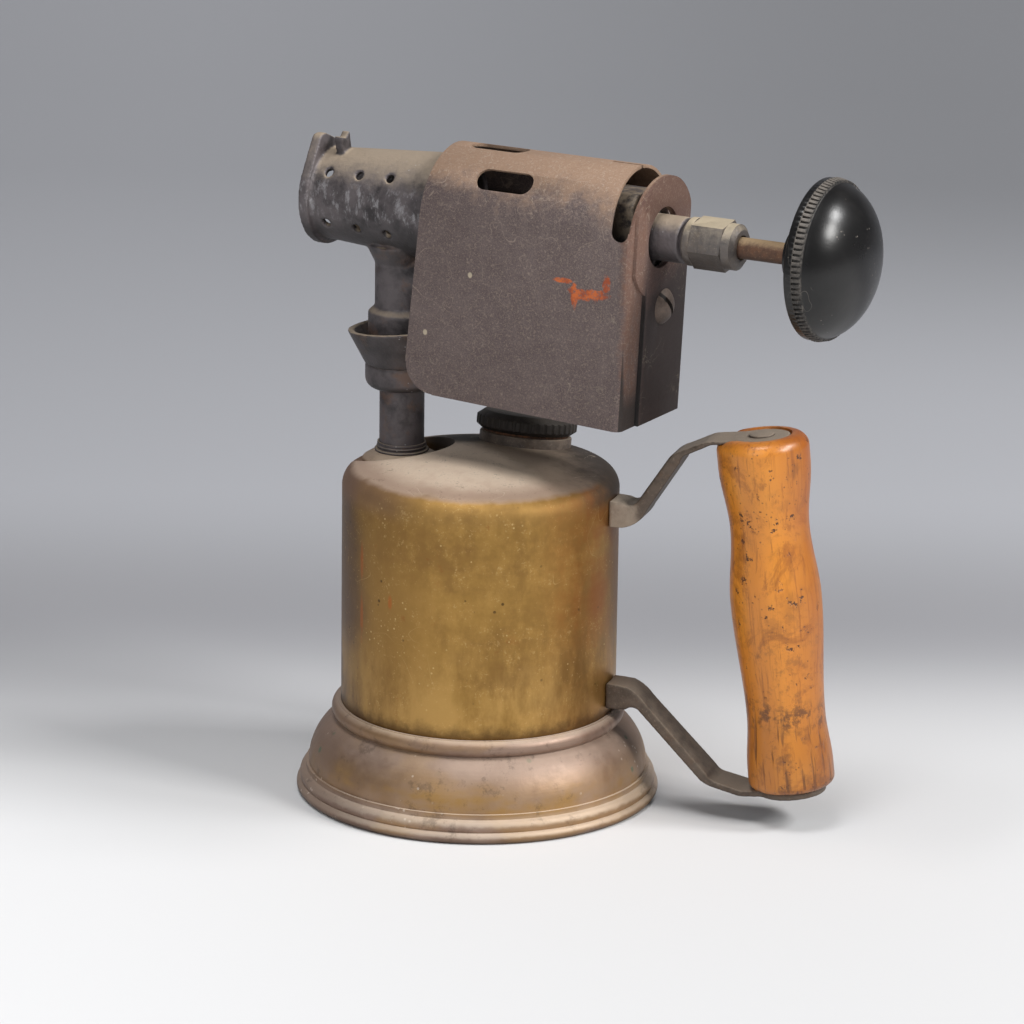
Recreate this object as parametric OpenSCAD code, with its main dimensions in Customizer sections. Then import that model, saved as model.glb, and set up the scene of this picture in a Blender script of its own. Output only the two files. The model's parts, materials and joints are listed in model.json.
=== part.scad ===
// Hand blowtorch: brass fuel tank on a spun foot, cast burner under a folded wind shield,
// screw-down needle valve with a domed knob, and a turned wooden grip on two steel brackets.
// Millimetres, +Z up. The origin is on the tank axis at the ground and the flame leaves towards -X.

/* [Tank] */
// Radius of the tank wall
tank_r = 42; // [38:0.5:46]
// Thickness of the drawn brass sheet
tank_wall = 0.9; // [0.7:0.1:1.2]
// Height of the lower edge of the tank wall
tank_edge_z = 14; // [11:0.5:17]
// Height at which the shoulder starts to round over
shoulder_z = 96; // [88:0.5:102]
// Radius of the rounded shoulder
shoulder_r = 6; // [5:0.5:8]
// Rise of the crown above the start of the shoulder
crown_h = 10.5; // [9.5:0.1:12]
// Radius of the pocket pressed into the crown round the riser
pocket_r = 16.3; // [15:0.1:18]
// Floor of the pocket above the start of the shoulder
pocket_rise = 3.5; // [2.5:0.1:4]
// Height of the tank's bottom plate above the edge of the wall
bottom_up = 1.5; // [0.5:0.1:3]

/* [Foot] */
// How far the foot's rim stands out beyond the tank wall
foot_flare = 13.5; // [11:0.1:15]
// Height of the foot
foot_h = 28.4; // [26:0.1:31]
// Thickness of the spun sheet
foot_wall = 1; // [0.8:0.1:1.3]
// Radius of the bead at the top of the foot
bead_r = 2.6; // [2.2:0.1:3]
// Radius of the bell curve in the half section
bell_r = 17.4; // [16:0.1:18.5]
// Height of the middle of the bell curve
bell_z = 8.5; // [7.5:0.1:9.5]
// How far the bell curve stays inside the rim
bell_in = 3.7; // [3.2:0.1:4.2]
// How far the plain band below the bell stays inside the rim
band_in = 2.9; // [2.6:0.1:3.2]
// Radius of the small bead above the rolled rim
rim_bead_r = 2.4; // [2:0.1:2.8]
// Height of the middle of the rim bead above the middle of the rolled rim
rim_bead_up = 2.9; // [2.6:0.1:3.2]
// Radius of the rolled rim
roll_r = 1.8; // [1.6:0.1:2.1]

/* [Riser] */
// Distance of the riser in front of the tank axis
riser_x = 28; // [26:0.5:30]
// Outside radius of the riser pipe
riser_r = 6.85; // [6:0.05:7.4]
// Wall of the riser pipe
riser_wall = 1.5; // [1.2:0.1:2]
// Bare height between the pocket floor and the mouth of the burner's socket
riser_bare = 23.1; // [20:0.1:26]
// Radius of the boss soldered into the pocket
boss_r = 12; // [11:0.1:13]
// Height of the boss
boss_h = 3.4; // [3:0.1:4]
// Radius of the ring on top of the boss
ring_r = 8.3; // [8:0.1:9]
// Height of the ringed collar
ring_h = 2.8; // [2.4:0.1:3.6]
// Gap between the tank's bottom plate and the riser pipe
riser_foot = 5; // [3:0.5:8]
// Gap between the wick and the bore of the riser
wick_gap = 0.15; // [0.1:0.05:0.3]
// How far the wick ends below the top of the riser
wick_short = 3; // [1:0.5:6]

/* [Burner] */
// Height of the burner axis above the socket mouth
axis_rise = 57.4; // [55:0.1:61]
// Length of the burner tube in front of the riser
tube_front = 27.7; // [26:0.1:30]
// Length of the burner tube behind the riser
tube_rear = 20; // [18:0.5:22]
// Outside radius of the tube at the mouth
mouth_r = 13.7; // [13:0.1:14.2]
// Outside radius of the tube at its open rear end
tube_rear_r = 16.9; // [16.4:0.1:17.1]
// Wall of the burner tube
tube_wall = 2; // [1.6:0.1:2.4]
// How far the mouth flange stands out beyond the tube
flange_lip = 2; // [1.6:0.1:2.6]
// Thickness of the mouth flange
flange_t = 3.1; // [2.6:0.1:3.6]
// How far the ear of the mouth flange and the rest lug stand up beyond the flange
lug_h = 4.3; // [3:0.1:5]
// Radius of the top of the ear
ear_r = 3.2; // [2.6:0.1:4]
// Turn of the ear from the top towards the near side, in degrees
ear_turn = 18; // [10:1:26]
// Half width of the rest lug
lug_r = 2.6; // [2:0.1:3.4]
// Thickness of the rest lug
lug_t = 2.6; // [2:0.1:3.2]
// Depth of the notch in the rest lug
lug_notch = 1.5; // [1:0.1:2]
// Distance of the rest lug behind the mouth
lug_gap = 7.2; // [6:0.1:8.4]
// Turn of the rest lug from the top towards the near side, in degrees
lug_turn = 12; // [0:1:20]
// Diameter of the air holes
air_d = 2.8; // [2.2:0.1:3.2]
// Distance between the air holes along the tube
air_pitch = 11; // [10:0.1:11.5]
// Distance of the first air hole behind the mouth
air_first = 8.2; // [7.6:0.1:9.2]
// Angle of the upper air hole rows above the horizontal, in degrees
air_high = 38; // [32:1:42]
// Angle of the lower air hole rows above the horizontal, in degrees
air_low = -28; // [-32:1:-20]
// Radius of the leg between the tube and the collar
leg_r = 8.5; // [8:0.1:9]
// Radius of the collar and the socket below the leg
socket_r = 10.5; // [10:0.1:11]
// Radius of the rounded lower edge of the socket
socket_edge = 3.4; // [2.4:0.1:3.5]
// Depth of the riser in the socket
socket_depth = 9; // [7:0.5:10]
// Top of the collar above the socket mouth
collar_top = 25.4; // [24.5:0.1:27]
// Height of the bevel at the top of the collar
collar_bevel = 1.7; // [1.2:0.1:2.4]
// How far the leg flares where it meets the tube
leg_flare = 3; // [2:0.5:4]

/* [Priming cup] */
// Height of the cup's lower edge above the socket mouth
cup_low = 7.7; // [7:0.1:9]
// Height of the middle of the rim above the socket mouth
cup_rim = 19.4; // [18.5:0.1:20.5]
// Outside radius of the rim
cup_r = 17.5; // [16.5:0.1:18.5]
// Dip of the rim towards the flame, in degrees
cup_dip = 6; // [3:0.5:8]
// Wall of the cup
cup_wall = 1.6; // [1.3:0.1:2]
// Thickness of the cup's floor
cup_floor = 2.4; // [1.6:0.1:3]

/* [Valve block] */
// Drop of the fuel arm below the burner axis
arm_drop = 22; // [20:0.5:24]
// Radius of the fuel arm
arm_r = 7.5; // [6.5:0.1:8]
// Gap between the tube's open end and the valve block
block_gap = 36; // [32:0.5:40]
// Length of the valve block along the burner axis
block_len = 27; // [25:0.5:29]
// Width of the valve block
block_w = 17; // [16:0.5:18]
// Top of the valve block above the burner axis
block_up = 13; // [11:0.5:14]
// Bevel of the valve block's long edges
block_bevel = 3; // [1:0.1:4]
// Radius of the fuel passages
duct_r = 2.2; // [1.8:0.1:2.6]
// Radius of the jet's shank
jet_r = 3.5; // [3:0.1:4]
// Length of the jet in front of the block
jet_out = 14; // [10:0.5:18]
// Length of the jet's shank in the block
jet_in = 6; // [4:0.5:7]
// Length of the jet's hexagon
jet_hex = 4; // [3:0.5:5]
// Radius of the jet's tip
jet_tip_r = 1.6; // [1.4:0.1:2]
// Radius of the jet orifice
orifice_r = 0.4; // [0.3:0.05:0.6]
// Distance of the needle's seat behind the front of the valve block
seat_in = 9; // [8:0.5:11]

/* [Wind shield] */
// Outside width of the folded shield
shield_w = 37; // [36.4:0.2:39]
// Thickness of the sheet
shield_t = 1; // [0.8:0.1:1.2]
// Middle of the roof arch above the burner axis
arch_up = 2; // [1:0.1:3]
// How far the shield reaches forward over the burner tube
shield_lap = 3.5; // [2.5:0.1:5]
// Drop of the lower edge below the burner axis at the rear
shield_drop = 55.8; // [53:0.2:57]
// Rise of the lower edge towards the front, in degrees
shield_rise = 2.4; // [1:0.1:3.5]
// Lean of the front edge, in degrees
front_lean = 5.6; // [4:0.1:7]
// Lean of the rear face, in degrees
rear_lean = 2.7; // [2:0.1:4]
// Radius of the lower front corner
corner_r = 9; // [6:0.5:11]
// Outside radius of the rear bends
bend_r = 2.5; // [2:0.1:3]
// Gap between the valve block and the rear face at axis height
shield_gap = 3.4; // [2.4:0.1:4]
// Width of the notch between the roof and the rear flaps
notch_w = 5.7; // [5:0.1:6.4]
// Height of the middle of the notch's round end above the middle of the roof arch
notch_up = 2; // [1:0.1:2.6]
// Radius of the rounded top of the rear flaps
flap_r = 18.3; // [17.5:0.1:19]
// Gap between the rear flaps and the valve stub
flap_gap = 2.2; // [1.6:0.1:2.6]
// Reach of each rear flap past the middle
flap_lap = 8.7; // [8:0.1:9.5]
// Length of the vent slots
vent_len = 19; // [16:0.5:21]
// Width of the vent slots
vent_w = 7; // [5.5:0.1:8]
// Distance of the side vents in front of the rear face
vent_side = 44.5; // [42:0.5:48]
// Distance of the top vent in front of the rear face
vent_top = 54; // [50:0.5:56]
// Angle of the side vents above the horizontal, in degrees
vent_angle = 40; // [34:1:46]
// Length of the slit in the roof ridge
slit_len = 10; // [6:0.5:13]
// Width of the slit in the roof ridge
slit_w = 1.2; // [0.8:0.1:1.6]

/* [Shield screw] */
// Drop of the screw below the burner axis
screw_drop = 21.5; // [20:0.5:23]
// Offset of the screw towards the far side
screw_y = 3; // [1:0.5:4]
// Radius of the screw head
screw_head_r = 5.4; // [4.6:0.1:5.8]
// Height of the screw head
screw_head_h = 2.8; // [2.2:0.1:3.2]
// Radius of the screw's shank
screw_r = 2; // [1.6:0.1:2.4]
// Depth of the screw in the valve block
screw_depth = 9; // [7:0.5:11]
// Width of the driver slot
slot_w = 1.3; // [1:0.1:1.6]
// Turn of the driver slot, in degrees
slot_turn = 35; // [0:5:90]

/* [Gland and spindle] */
// Radius of the valve stub
stub_r = 6.9; // [6.5:0.1:7.3]
// Length of the valve stub behind the block
stub_len = 13.4; // [12.5:0.1:15]
// Radius of the threaded spigot inside the nut
spigot_r = 5.2; // [4.9:0.1:5.4]
// Length of the threaded spigot
spigot_len = 9; // [8:0.1:10]
// Wall of the spigot round the packing
spigot_wall = 0.9; // [0.7:0.1:1.2]
// Gap between the stub and the gland nut
nut_gap = 0.9; // [0.6:0.1:1.4]
// Width of the gland nut across its flats
nut_af = 13.6; // [13.2:0.1:14.6]
// Length of the round skirt of the gland nut
nut_skirt = 2.8; // [2:0.1:3.4]
// Length of the hexagon of the gland nut
nut_hex = 10.3; // [9.5:0.1:11.5]
// Length of the round nose of the gland nut
nut_nose = 3.9; // [3:0.1:4.6]
// Bevel of the gland nut's edges
nut_bevel = 0.8; // [0.5:0.1:1.2]
// Turn of the hexagon about the spindle, in degrees
nut_turn = 10; // [0:1:20]
// Length of the packing ring
packing_len = 4.5; // [3.5:0.1:5.5]
// Diameter of the spindle
spindle_d = 6.35; // [6:0.05:6.6]
// Bare spindle between the gland nut and the knob's hub
spindle_bare = 16.8; // [14:0.5:20]
// Advance of the spindle in one turn
valve_pitch = 0.8; // [0.6:0.1:1]
// Length of the needle in front of the spindle
needle_out = 6.5; // [5.5:0.1:7.5]
// Radius of the needle's shank
needle_r = 1.2; // [1:0.1:1.6]
// Radius of the needle's point
point_r = 0.3; // [0.2:0.1:0.5]
// Length of the needle's cone
needle_cone = 2.4; // [2:0.1:3]
// Depth of the needle in the end of the spindle
needle_in = 4; // [3:0.5:5]

/* [Knob] */
// Radius of the knob over its ribs
knob_r = 23.9; // [21:0.1:27]
// Width of the plain edge behind the ribs
knob_edge = 2.6; // [2:0.1:3.2]
// Width of the ribbed band
knob_rim = 2.6; // [2:0.1:3.2]
// Height of the knob from its back to the top of the dome
knob_h = 16.4; // [14:0.1:19]
// Fullness of the dome, where 2 makes an ellipse
knob_swell = 2.14; // [2:0.02:2.4]
// Number of ribs
knob_ribs = 90; // [60:2:110]
// Depth of the grooves between the ribs
rib_depth = 0.9; // [0.7:0.1:1.1]
// Taper of the ribs towards the dome
rib_taper = 0.6; // [0.4:0.1:0.7]
// Radius of the hub behind the knob
hub_r = 8; // [7.5:0.1:9]
// Length of the hub behind the knob's edge
hub_len = 8.1; // [7:0.1:10]
// Radius of the hollow in the back of the knob
back_r = 19.5; // [17:0.1:20.5]
// Depth of the hollow in the back of the knob
back_depth = 4; // [2.5:0.1:5]
// Radius of the metal insert
insert_r = 5.2; // [4.8:0.1:5.6]
// Bevel of the knob's back edge
knob_bevel = 0.4; // [0.2:0.1:0.6]
// Steps in the curve of the dome
dome_steps = 26; // [18:2:36]

/* [Filler] */
// Distance of the filler from the tank axis
filler_out = 24; // [23:0.1:25]
// Turn of the filler round the tank from the plane of the burner, in degrees
filler_turn = 86; // [80:1:95]
// Radius of the filler neck
neck_r = 14.1; // [13.6:0.1:14.4]
// Height of the neck above the crown
neck_h = 2.3; // [2:0.1:3]
// Depth of the neck below the crown
neck_in = 6; // [5:0.5:7]
// Radius of the threaded plug
plug_r = 9; // [8:0.1:9.8]
// Length of the threaded plug
plug_len = 8; // [7:0.1:9]
// Thickness of the sealing washer
washer_t = 0.8; // [0.6:0.1:1.2]
// Radius of the cap
cap_r = 15.4; // [14.8:0.1:16]
// Height of the cap
cap_h = 5.6; // [5:0.1:6.4]
// Height of the bevel at the cap's upper edge
cap_edge = 1.8; // [1.2:0.1:2.2]
// Height of the bevel at the cap's lower edge
cap_under = 1.2; // [0.8:0.1:1.6]
// Number of finger notches round the cap
cap_notches = 40; // [30:1:48]
// Radius of the finger notches
cap_notch_r = 0.7; // [0.5:0.1:0.8]
// Rise of the cap in one turn
cap_pitch = 1.5; // [1:0.1:2]

/* [Handle] */
// Turn of the handle round the tank from the plane of the burner, in degrees
handle_turn = 12; // [0:1:20]
// Length of the grip
grip_len = 108.7; // [103:0.1:114]
// Distance of the lower end of the grip from the tank wall
grip_out = 57.7; // [54:0.1:62]
// Height of the middle of the grip's lower end
grip_z = 11.9; // [11:0.1:16]
// Lean of the grip, in degrees
grip_lean = 6.6; // [5:0.1:8]
// Radius of the grip at its lower flare
grip_foot_r = 13; // [11:0.1:14]
// Radius of the grip at its lower waist
grip_low_r = 11.8; // [11:0.1:12.4]
// Radius of the grip at its belly
grip_belly_r = 13.7; // [13:0.1:14.4]
// Radius of the grip at its upper waist
grip_neck_r = 11.8; // [11:0.1:12.4]
// Radius of the grip at its upper flare
grip_top_r = 13.8; // [13.2:0.1:14.4]
// Rounding of the grip's lower end
grip_edge = 2.6; // [2:0.1:3.2]
// Rounding of the grip's upper end
grip_crown = 4; // [3.4:0.1:4.4]
// Depth of the seat for the upper bracket in the top of the grip
top_seat = 1.7; // [1.4:0.1:2]
// Width of the brackets at the tank wall
bracket_w = 9.6; // [8.6:0.2:11.2]
// Width of the brackets at the grip
bracket_end_w = 14; // [12:0.5:16]
// Thickness of the brackets at the tank wall
bracket_root = 8.4; // [7:0.1:9.4]
// Thickness of the lower bracket's plate
plate_t = 2.2; // [1.8:0.1:2.4]
// Radius of the lower bracket's plate
plate_r = 10.2; // [9.5:0.1:10.8]
// Thickness of the upper bracket's plate
top_plate_t = 1.4; // [1.2:0.1:1.8]
// Radius of the upper bracket's plate
top_plate_r = 8.6; // [8:0.1:9.2]
// Power of the upper bracket's fall in thickness
upper_taper = 2.4; // [2:0.1:3]
// Power of the lower bracket's fall in thickness
lower_taper = 4; // [3:0.1:5]
// Drop of the upper bracket's root below the start of the shoulder
upper_down = 4; // [3:0.1:6]
// Height of the lower bracket's root above the foot of the tank
lower_up = 6.4; // [6:0.1:9]
// Straight length of the upper bracket from the tank wall
upper_reach = 7.9; // [6:0.1:10]
// Straight length of the lower bracket from the tank wall
lower_reach = 9.2; // [7:0.1:11]
// Height of the upper bracket's second bend above its plate
upper_bow = -3.6; // [-4.6:0.1:-2]
// Height of the lower bracket's second bend above its plate
lower_bow = 3.4; // [2:0.1:5]
// Distance of the second bend from the end of the grip
bracket_run = 11; // [9:0.5:13]
// Radius of the bracket bends
bracket_bend = 7; // [5:0.5:8]
// Radius of the rod through the grip
rod_r = 2.4; // [2:0.1:3]
// Radius of the rod's head
rod_head_r = 4; // [3.6:0.1:4.6]
// Height of the rod's head
rod_head_h = 0.6; // [0.4:0.1:1.2]
// Length of the rod's tail below the lower bracket
rod_tail = 2.2; // [1.6:0.1:3]
// Thickness of the washer on the rod's tail
burr_t = 1.4; // [1:0.1:1.8]

/* [Fits] */
// Radial clearance of pieces that are soldered, pressed or screwed together
seat_gap = 0.05; // [0.03:0.01:0.1]
// Radial clearance of pieces that run in one another
run_gap = 0.06; // [0.04:0.01:0.09]
// Gap round pieces that must not touch
air_gap = 0.5; // [0.4:0.05:0.7]

/* [Hidden] */
$fn = 96;
eps = 0.01;
big = 300;

shoulder_x = tank_r - shoulder_r;
crown_r = (pow(shoulder_x, 2) + pow(crown_h, 2) - pow(shoulder_r, 2))
    / (2 * (crown_h - shoulder_r));
crown_c = shoulder_z + crown_h - crown_r;
pocket_z = shoulder_z + pocket_rise;
foot_r = tank_r + foot_flare;
bell_x = foot_r - bell_in - bell_r;
roll_z = roll_r - 0.1;
bead_z = foot_h - bead_r;
bottom_z = tank_edge_z + bottom_up;

socket_z = pocket_z + riser_bare;
axis_z = socket_z + axis_rise;
riser_top = socket_z + socket_depth;
arm_z = axis_z - arm_drop;
mouth_x = -riser_x - tube_front;
tube_end_x = -riser_x + tube_rear;
tube_len = tube_front + tube_rear;
flange_r = mouth_r + flange_lip;
lug_top = flange_r + lug_h;
cup_foot = socket_r + cup_wall / 2;

block_x = tube_end_x + block_gap;
block_end = block_x + block_len;
seat_x = block_x + seat_in;
stub_end = block_end + stub_len;
spigot_end = stub_end + spigot_len;
nut_x = stub_end + nut_gap;
hex_x = nut_x + nut_skirt;
nose_x = hex_x + nut_hex;
nut_end = nose_x + nut_nose;
spindle_r = spindle_d / 2;
spindle_x = seat_x + needle_out;
seat_r = (needle_r + point_r) / 2 + run_gap;
packing_r = spigot_r - spigot_wall;
packing_x = spigot_end - packing_len;
hub_x = nut_end + spindle_bare;
knob_x = hub_x + hub_len;
knob_core = knob_r - rib_depth;
knob_side = knob_r - rib_taper / 2;
rib_end = knob_edge + knob_rim;
insert_end = knob_x + rib_end;
spindle_end = insert_end - 2 * air_gap;

half_w = shield_w / 2;
inner_w = half_w - shield_t;
arch_z = axis_z + arch_up;
front_x = tube_end_x - shield_lap;
rear_x = block_end + shield_gap + shield_t;
roof_end = rear_x - shield_t - notch_w;
low_z = axis_z - shield_drop;
notch_z = arch_z + notch_up;
flap_low = shield_drop + 4;
flap_side = arch_up + notch_up - notch_w / 2;
screw_bore = screw_r + seat_gap;

filler_lean = asin(filler_out / crown_r);
cap_z = neck_h + washer_t + seat_gap;

grip_x = tank_r + grip_out;

tank_shell();
tank_bottom();
foot_skirt();
riser_boss();
riser_collar();
riser_tube();
wick();
burner_casting();
priming_cup();
jet_nozzle();
windshield();
shield_screw();
gland_nut();
gland_packing();
valve_needle();
valve_spindle();
knob_insert();
control_knob();
filler_neck();
filler_washer();
filler_cap();
upper_bracket();
lower_bracket();
handle_grip();
handle_rod();
rod_burr();

// Places pieces that are turned about the burner axis: their own Z runs to the rear from station x
module on_axis(x) {
    translate([x, 0, axis_z])
        rotate([0, 90, 0])
            children();
}

// Places pieces that stand on the riser axis
module on_riser(z = 0) {
    translate([-riser_x, 0, z])
        children();
}

// Frame of the leaning rear face: X runs out of the face and Z up along it from axis height
module on_rear() {
    translate([rear_x, 0, axis_z])
        rotate([0, rear_lean, 0])
            children();
}

// Frame of the filler: Z runs square out of the crown
module on_filler() {
    translate([0, 0, crown_c])
        rotate([0, filler_lean, filler_turn])
            translate([0, 0, crown_r])
                children();
}

// Frame of the grip: Z runs up its axis from the lower end
module on_grip() {
    translate([grip_x, 0, grip_z])
        rotate([0, -grip_lean, 0])
            children();
}

// Turns the handle pieces round the tank
module on_handle() {
    rotate(handle_turn)
        children();
}

module ring(r_out, r_in, h) {
    difference() {
        cylinder(r = r_out, h = h);
        translate([0, 0, -1])
            cylinder(r = r_in, h = h + 2);
    }
}

// Half section of the closed tank body, moved in by the given amount
module tank_section(inset, drop) {
    past = (crown_r + 5) / (crown_r - shoulder_r);
    translate([0, tank_edge_z - drop])
        square([tank_r - inset, shoulder_z - tank_edge_z + drop]);
    translate([shoulder_x, shoulder_z])
        circle(shoulder_r - inset);
    intersection() {
        translate([0, crown_c])
            circle(crown_r - inset);
        polygon([[0, shoulder_z - 1], [shoulder_x, shoulder_z - 1], [shoulder_x, shoulder_z],
            [shoulder_x * past, crown_c + (shoulder_z - crown_c) * past], [0, crown_c + crown_r + 5]]);
    }
}

module tank_shell() {
    color("goldenrod")
        difference() {
            rotate_extrude()
                tank_section(0, 0);
            on_riser(pocket_z)
                cylinder(r = pocket_r, h = big);
            difference() {
                rotate_extrude()
                    tank_section(tank_wall, 1);
                on_riser(pocket_z - tank_wall)
                    cylinder(r = pocket_r + tank_wall, h = big);
            }
            on_riser(bottom_z)
                cylinder(r = riser_r + seat_gap, h = big);
            on_filler()
                translate([0, 0, -shoulder_r])
                    cylinder(r = neck_r + seat_gap, h = big);
        }
}

module tank_bottom() {
    lip_r = tank_r - tank_wall - seat_gap;
    color("darkgoldenrod") {
        translate([0, 0, bottom_z])
            cylinder(r = lip_r, h = tank_wall);
        translate([0, 0, tank_edge_z])
            ring(lip_r, lip_r - tank_wall, bottom_up + eps);
    }
}

// Half section of the foot, moved in by the given amount
module foot_section(inset) {
    translate([tank_r + 0.2, bead_z])
        circle(bead_r - inset);
    intersection() {
        translate([bell_x, bell_z])
            circle(bell_r - inset);
        translate([bell_x, bell_z - 1])
            square([foot_r, bell_r + 1]);
    }
    translate([foot_r - 1 - rim_bead_r, roll_z + rim_bead_up])
        circle(rim_bead_r - inset);
    translate([bell_x, roll_r])
        square([foot_r - band_in - inset - bell_x, bell_z - roll_r]);
}

module foot_skirt() {
    color("peru")
        rotate_extrude()
            difference() {
                union() {
                    difference() {
                        foot_section(0);
                        foot_section(foot_wall);
                        square([foot_r - bell_in - foot_wall, bell_z]);
                    }
                    translate([foot_r - roll_r, roll_z])
                        circle(roll_r);
                    translate([tank_r, bead_z - bead_r])
                        square([foot_wall, 2 * bead_r]);
                }
                square([tank_r + seat_gap, foot_h + 5]);
                translate([0, -5])
                    square([foot_r + 5, 5]);
            }
}

module riser_boss() {
    color("tan")
        on_riser(pocket_z)
            difference() {
                union() {
                    cylinder(r = boss_r, h = boss_h / 3);
                    translate([0, 0, boss_h / 3])
                        cylinder(r1 = boss_r, r2 = ring_r, h = boss_h * 2 / 3);
                }
                translate([0, 0, -1])
                    cylinder(r = riser_r + seat_gap, h = boss_h + 2);
            }
}

module riser_collar() {
    bore = riser_r + seat_gap;
    bead = ring_h / 8;
    color("dimgray")
        on_riser(pocket_z + boss_h)
            rotate_extrude()
                difference() {
                    union() {
                        square([bore + 1.5 * bead, ring_h]);
                        translate([ring_r - bead, bead])
                            circle(bead);
                        square([ring_r - bead, 2 * bead]);
                        translate([bore + 1.2 * bead, 4.2 * bead])
                            circle(bead);
                        translate([bore + 0.7 * bead, 6.8 * bead])
                            circle(bead);
                    }
                    square([bore, ring_h]);
                }
}

module riser_tube() {
    color("#2d2b2c")
        on_riser(bottom_z + riser_foot)
            ring(riser_r, riser_r - riser_wall, riser_top - bottom_z - riser_foot);
}

module wick() {
    color("linen")
        on_riser(bottom_z + tank_wall)
            cylinder(r = riser_r - riser_wall - wick_gap,
                h = riser_top - bottom_z - tank_wall - wick_short);
}

// Mouth flange drawn out to a round-topped ear
module ear_disc() {
    c = lug_top - ear_r;
    lean = acos((flange_r - ear_r) / c);
    side = [cos(lean), sin(lean)];
    far = [c, 0] + ear_r * side;
    circle(flange_r);
    rotate(180 + ear_turn) {
        translate([c, 0])
            circle(ear_r);
        polygon([[0, 0], [flange_r * side.x, -flange_r * side.y], [far.x, -far.y], far, flange_r * side]);
    }
}

// Straight lug with a notched top
module lug_plate() {
    rotate(180 + lug_turn)
        polygon([[mouth_r - tube_wall / 2, -lug_r], [lug_top, -lug_r], [lug_top - lug_notch, 0],
            [lug_top, lug_r], [mouth_r - tube_wall / 2, lug_r]]);
}

module air_holes(rows) {
    for (row = rows, i = [0 : 2])
        translate([mouth_x + air_first + i * air_pitch, 0, axis_z])
            rotate([90 - row, 0, 0])
                cylinder(d = air_d, h = big, $fn = 32);
}

module tube_body() {
    on_axis(mouth_x) {
        cylinder(r1 = mouth_r, r2 = tube_rear_r, h = tube_len);
        linear_extrude(flange_t)
            ear_disc();
    }
    on_axis(mouth_x + lug_gap)
        linear_extrude(lug_t)
            lug_plate();
}

module leg_body() {
    on_riser(socket_z)
        rotate_extrude()
            difference() {
                union() {
                    square([socket_r, collar_top - collar_bevel]);
                    translate([0, socket_edge])
                        square([cup_foot, cup_low - socket_edge]);
                    translate([cup_foot - socket_edge, socket_edge])
                        circle(socket_edge);
                    square([leg_r, axis_rise - mouth_r + tube_wall]);
                    translate([0, collar_top - collar_bevel])
                        polygon([[0, -eps], [socket_r, -eps], [leg_r, collar_bevel], [0, collar_bevel]]);
                }
                translate([-big, 0])
                    square([big, big]);
                difference() {
                    translate([cup_foot - socket_edge, 0])
                        square(socket_edge);
                    translate([cup_foot - socket_edge, socket_edge])
                        circle(socket_edge);
                }
            }
    on_riser(axis_z - tube_rear_r - leg_flare / 2)
        cylinder(r1 = leg_r, r2 = leg_r + leg_flare, h = 2 * leg_flare);
}

module block_body() {
    b = block_bevel;
    w = block_w / 2;
    low = arm_drop + arm_r;
    translate([-riser_x, 0, arm_z])
        rotate([0, 90, 0])
            cylinder(r = arm_r, h = block_x + riser_x + arm_r);
    on_axis(block_x)
        linear_extrude(block_len)
            polygon([[-block_up, b - w], [b - block_up, -w], [low - b, -w], [low, b - w],
                [low, w - b], [low - b, w], [b - block_up, w], [-block_up, w - b]]);
    on_axis(block_end - 1)
        cylinder(r = stub_r, h = stub_len + 1);
    on_axis(stub_end - 1)
        cylinder(r = spigot_r, h = spigot_len + 1);
    intersection() {
        on_rear()
            translate([-shield_t - big, screw_y - screw_head_r, -screw_drop - screw_head_r])
                cube([big, 2 * screw_head_r, 2 * screw_head_r]);
        translate([block_end - 2, -big / 2, 0])
            cube([big, big, big]);
    }
}

module burner_casting() {
    duct_x = seat_x + needle_out / 2;
    color("#3b3938")
        difference() {
            union() {
                tube_body();
                leg_body();
                block_body();
            }
            on_axis(mouth_x - eps)
                cylinder(r1 = mouth_r - tube_wall, r2 = tube_rear_r - tube_wall, h = tube_len + 2 * eps);
            on_axis(tube_end_x)
                cylinder(r = tube_rear_r, h = block_gap - jet_out);
            air_holes([air_high, air_low]);
            air_holes([180 - air_high, 180 - air_low]);
            on_riser(socket_z - 1)
                cylinder(r = riser_r + seat_gap, h = socket_depth + 1);
            on_riser(riser_top - 1)
                cylinder(r = duct_r, h = arm_z - riser_top + 1);
            translate([-riser_x, 0, arm_z])
                rotate([0, 90, 0])
                    cylinder(r = duct_r, h = duct_x + riser_x);
            translate([duct_x, 0, arm_z])
                cylinder(r = duct_r, h = arm_drop);
            on_axis(block_x - 1)
                cylinder(r = jet_r + seat_gap, h = jet_in + 2);
            on_axis(block_x)
                cylinder(r = seat_r, h = block_len);
            on_axis(seat_x)
                cylinder(r = spindle_r + run_gap, h = spigot_end - seat_x + 1);
            on_axis(packing_x)
                cylinder(r = packing_r + seat_gap, h = packing_len + 1);
            on_rear()
                translate([-screw_depth - shield_t, screw_y, -screw_drop])
                    rotate([0, 90, 0])
                        cylinder(r = screw_bore, h = big);
        }
}

module priming_cup() {
    bore = socket_r + seat_gap;
    side = (cup_r - cup_foot) / (cup_rim - cup_low);
    tall = cup_rim - cup_low + 4;
    color("#454341")
        difference() {
            on_riser(socket_z + cup_low)
                cylinder(r1 = cup_foot, r2 = cup_foot + side * tall, h = tall);
            on_riser(socket_z)
                cylinder(r = bore, h = collar_top);
            on_riser(socket_z + cup_low + cup_floor)
                cylinder(r1 = bore, r2 = bore + side * tall, h = tall);
            on_riser(socket_z + cup_rim)
                rotate([0, -cup_dip, 0])
                    translate([-big / 2, -big / 2, 0])
                        cube(big);
        }
}

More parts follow.
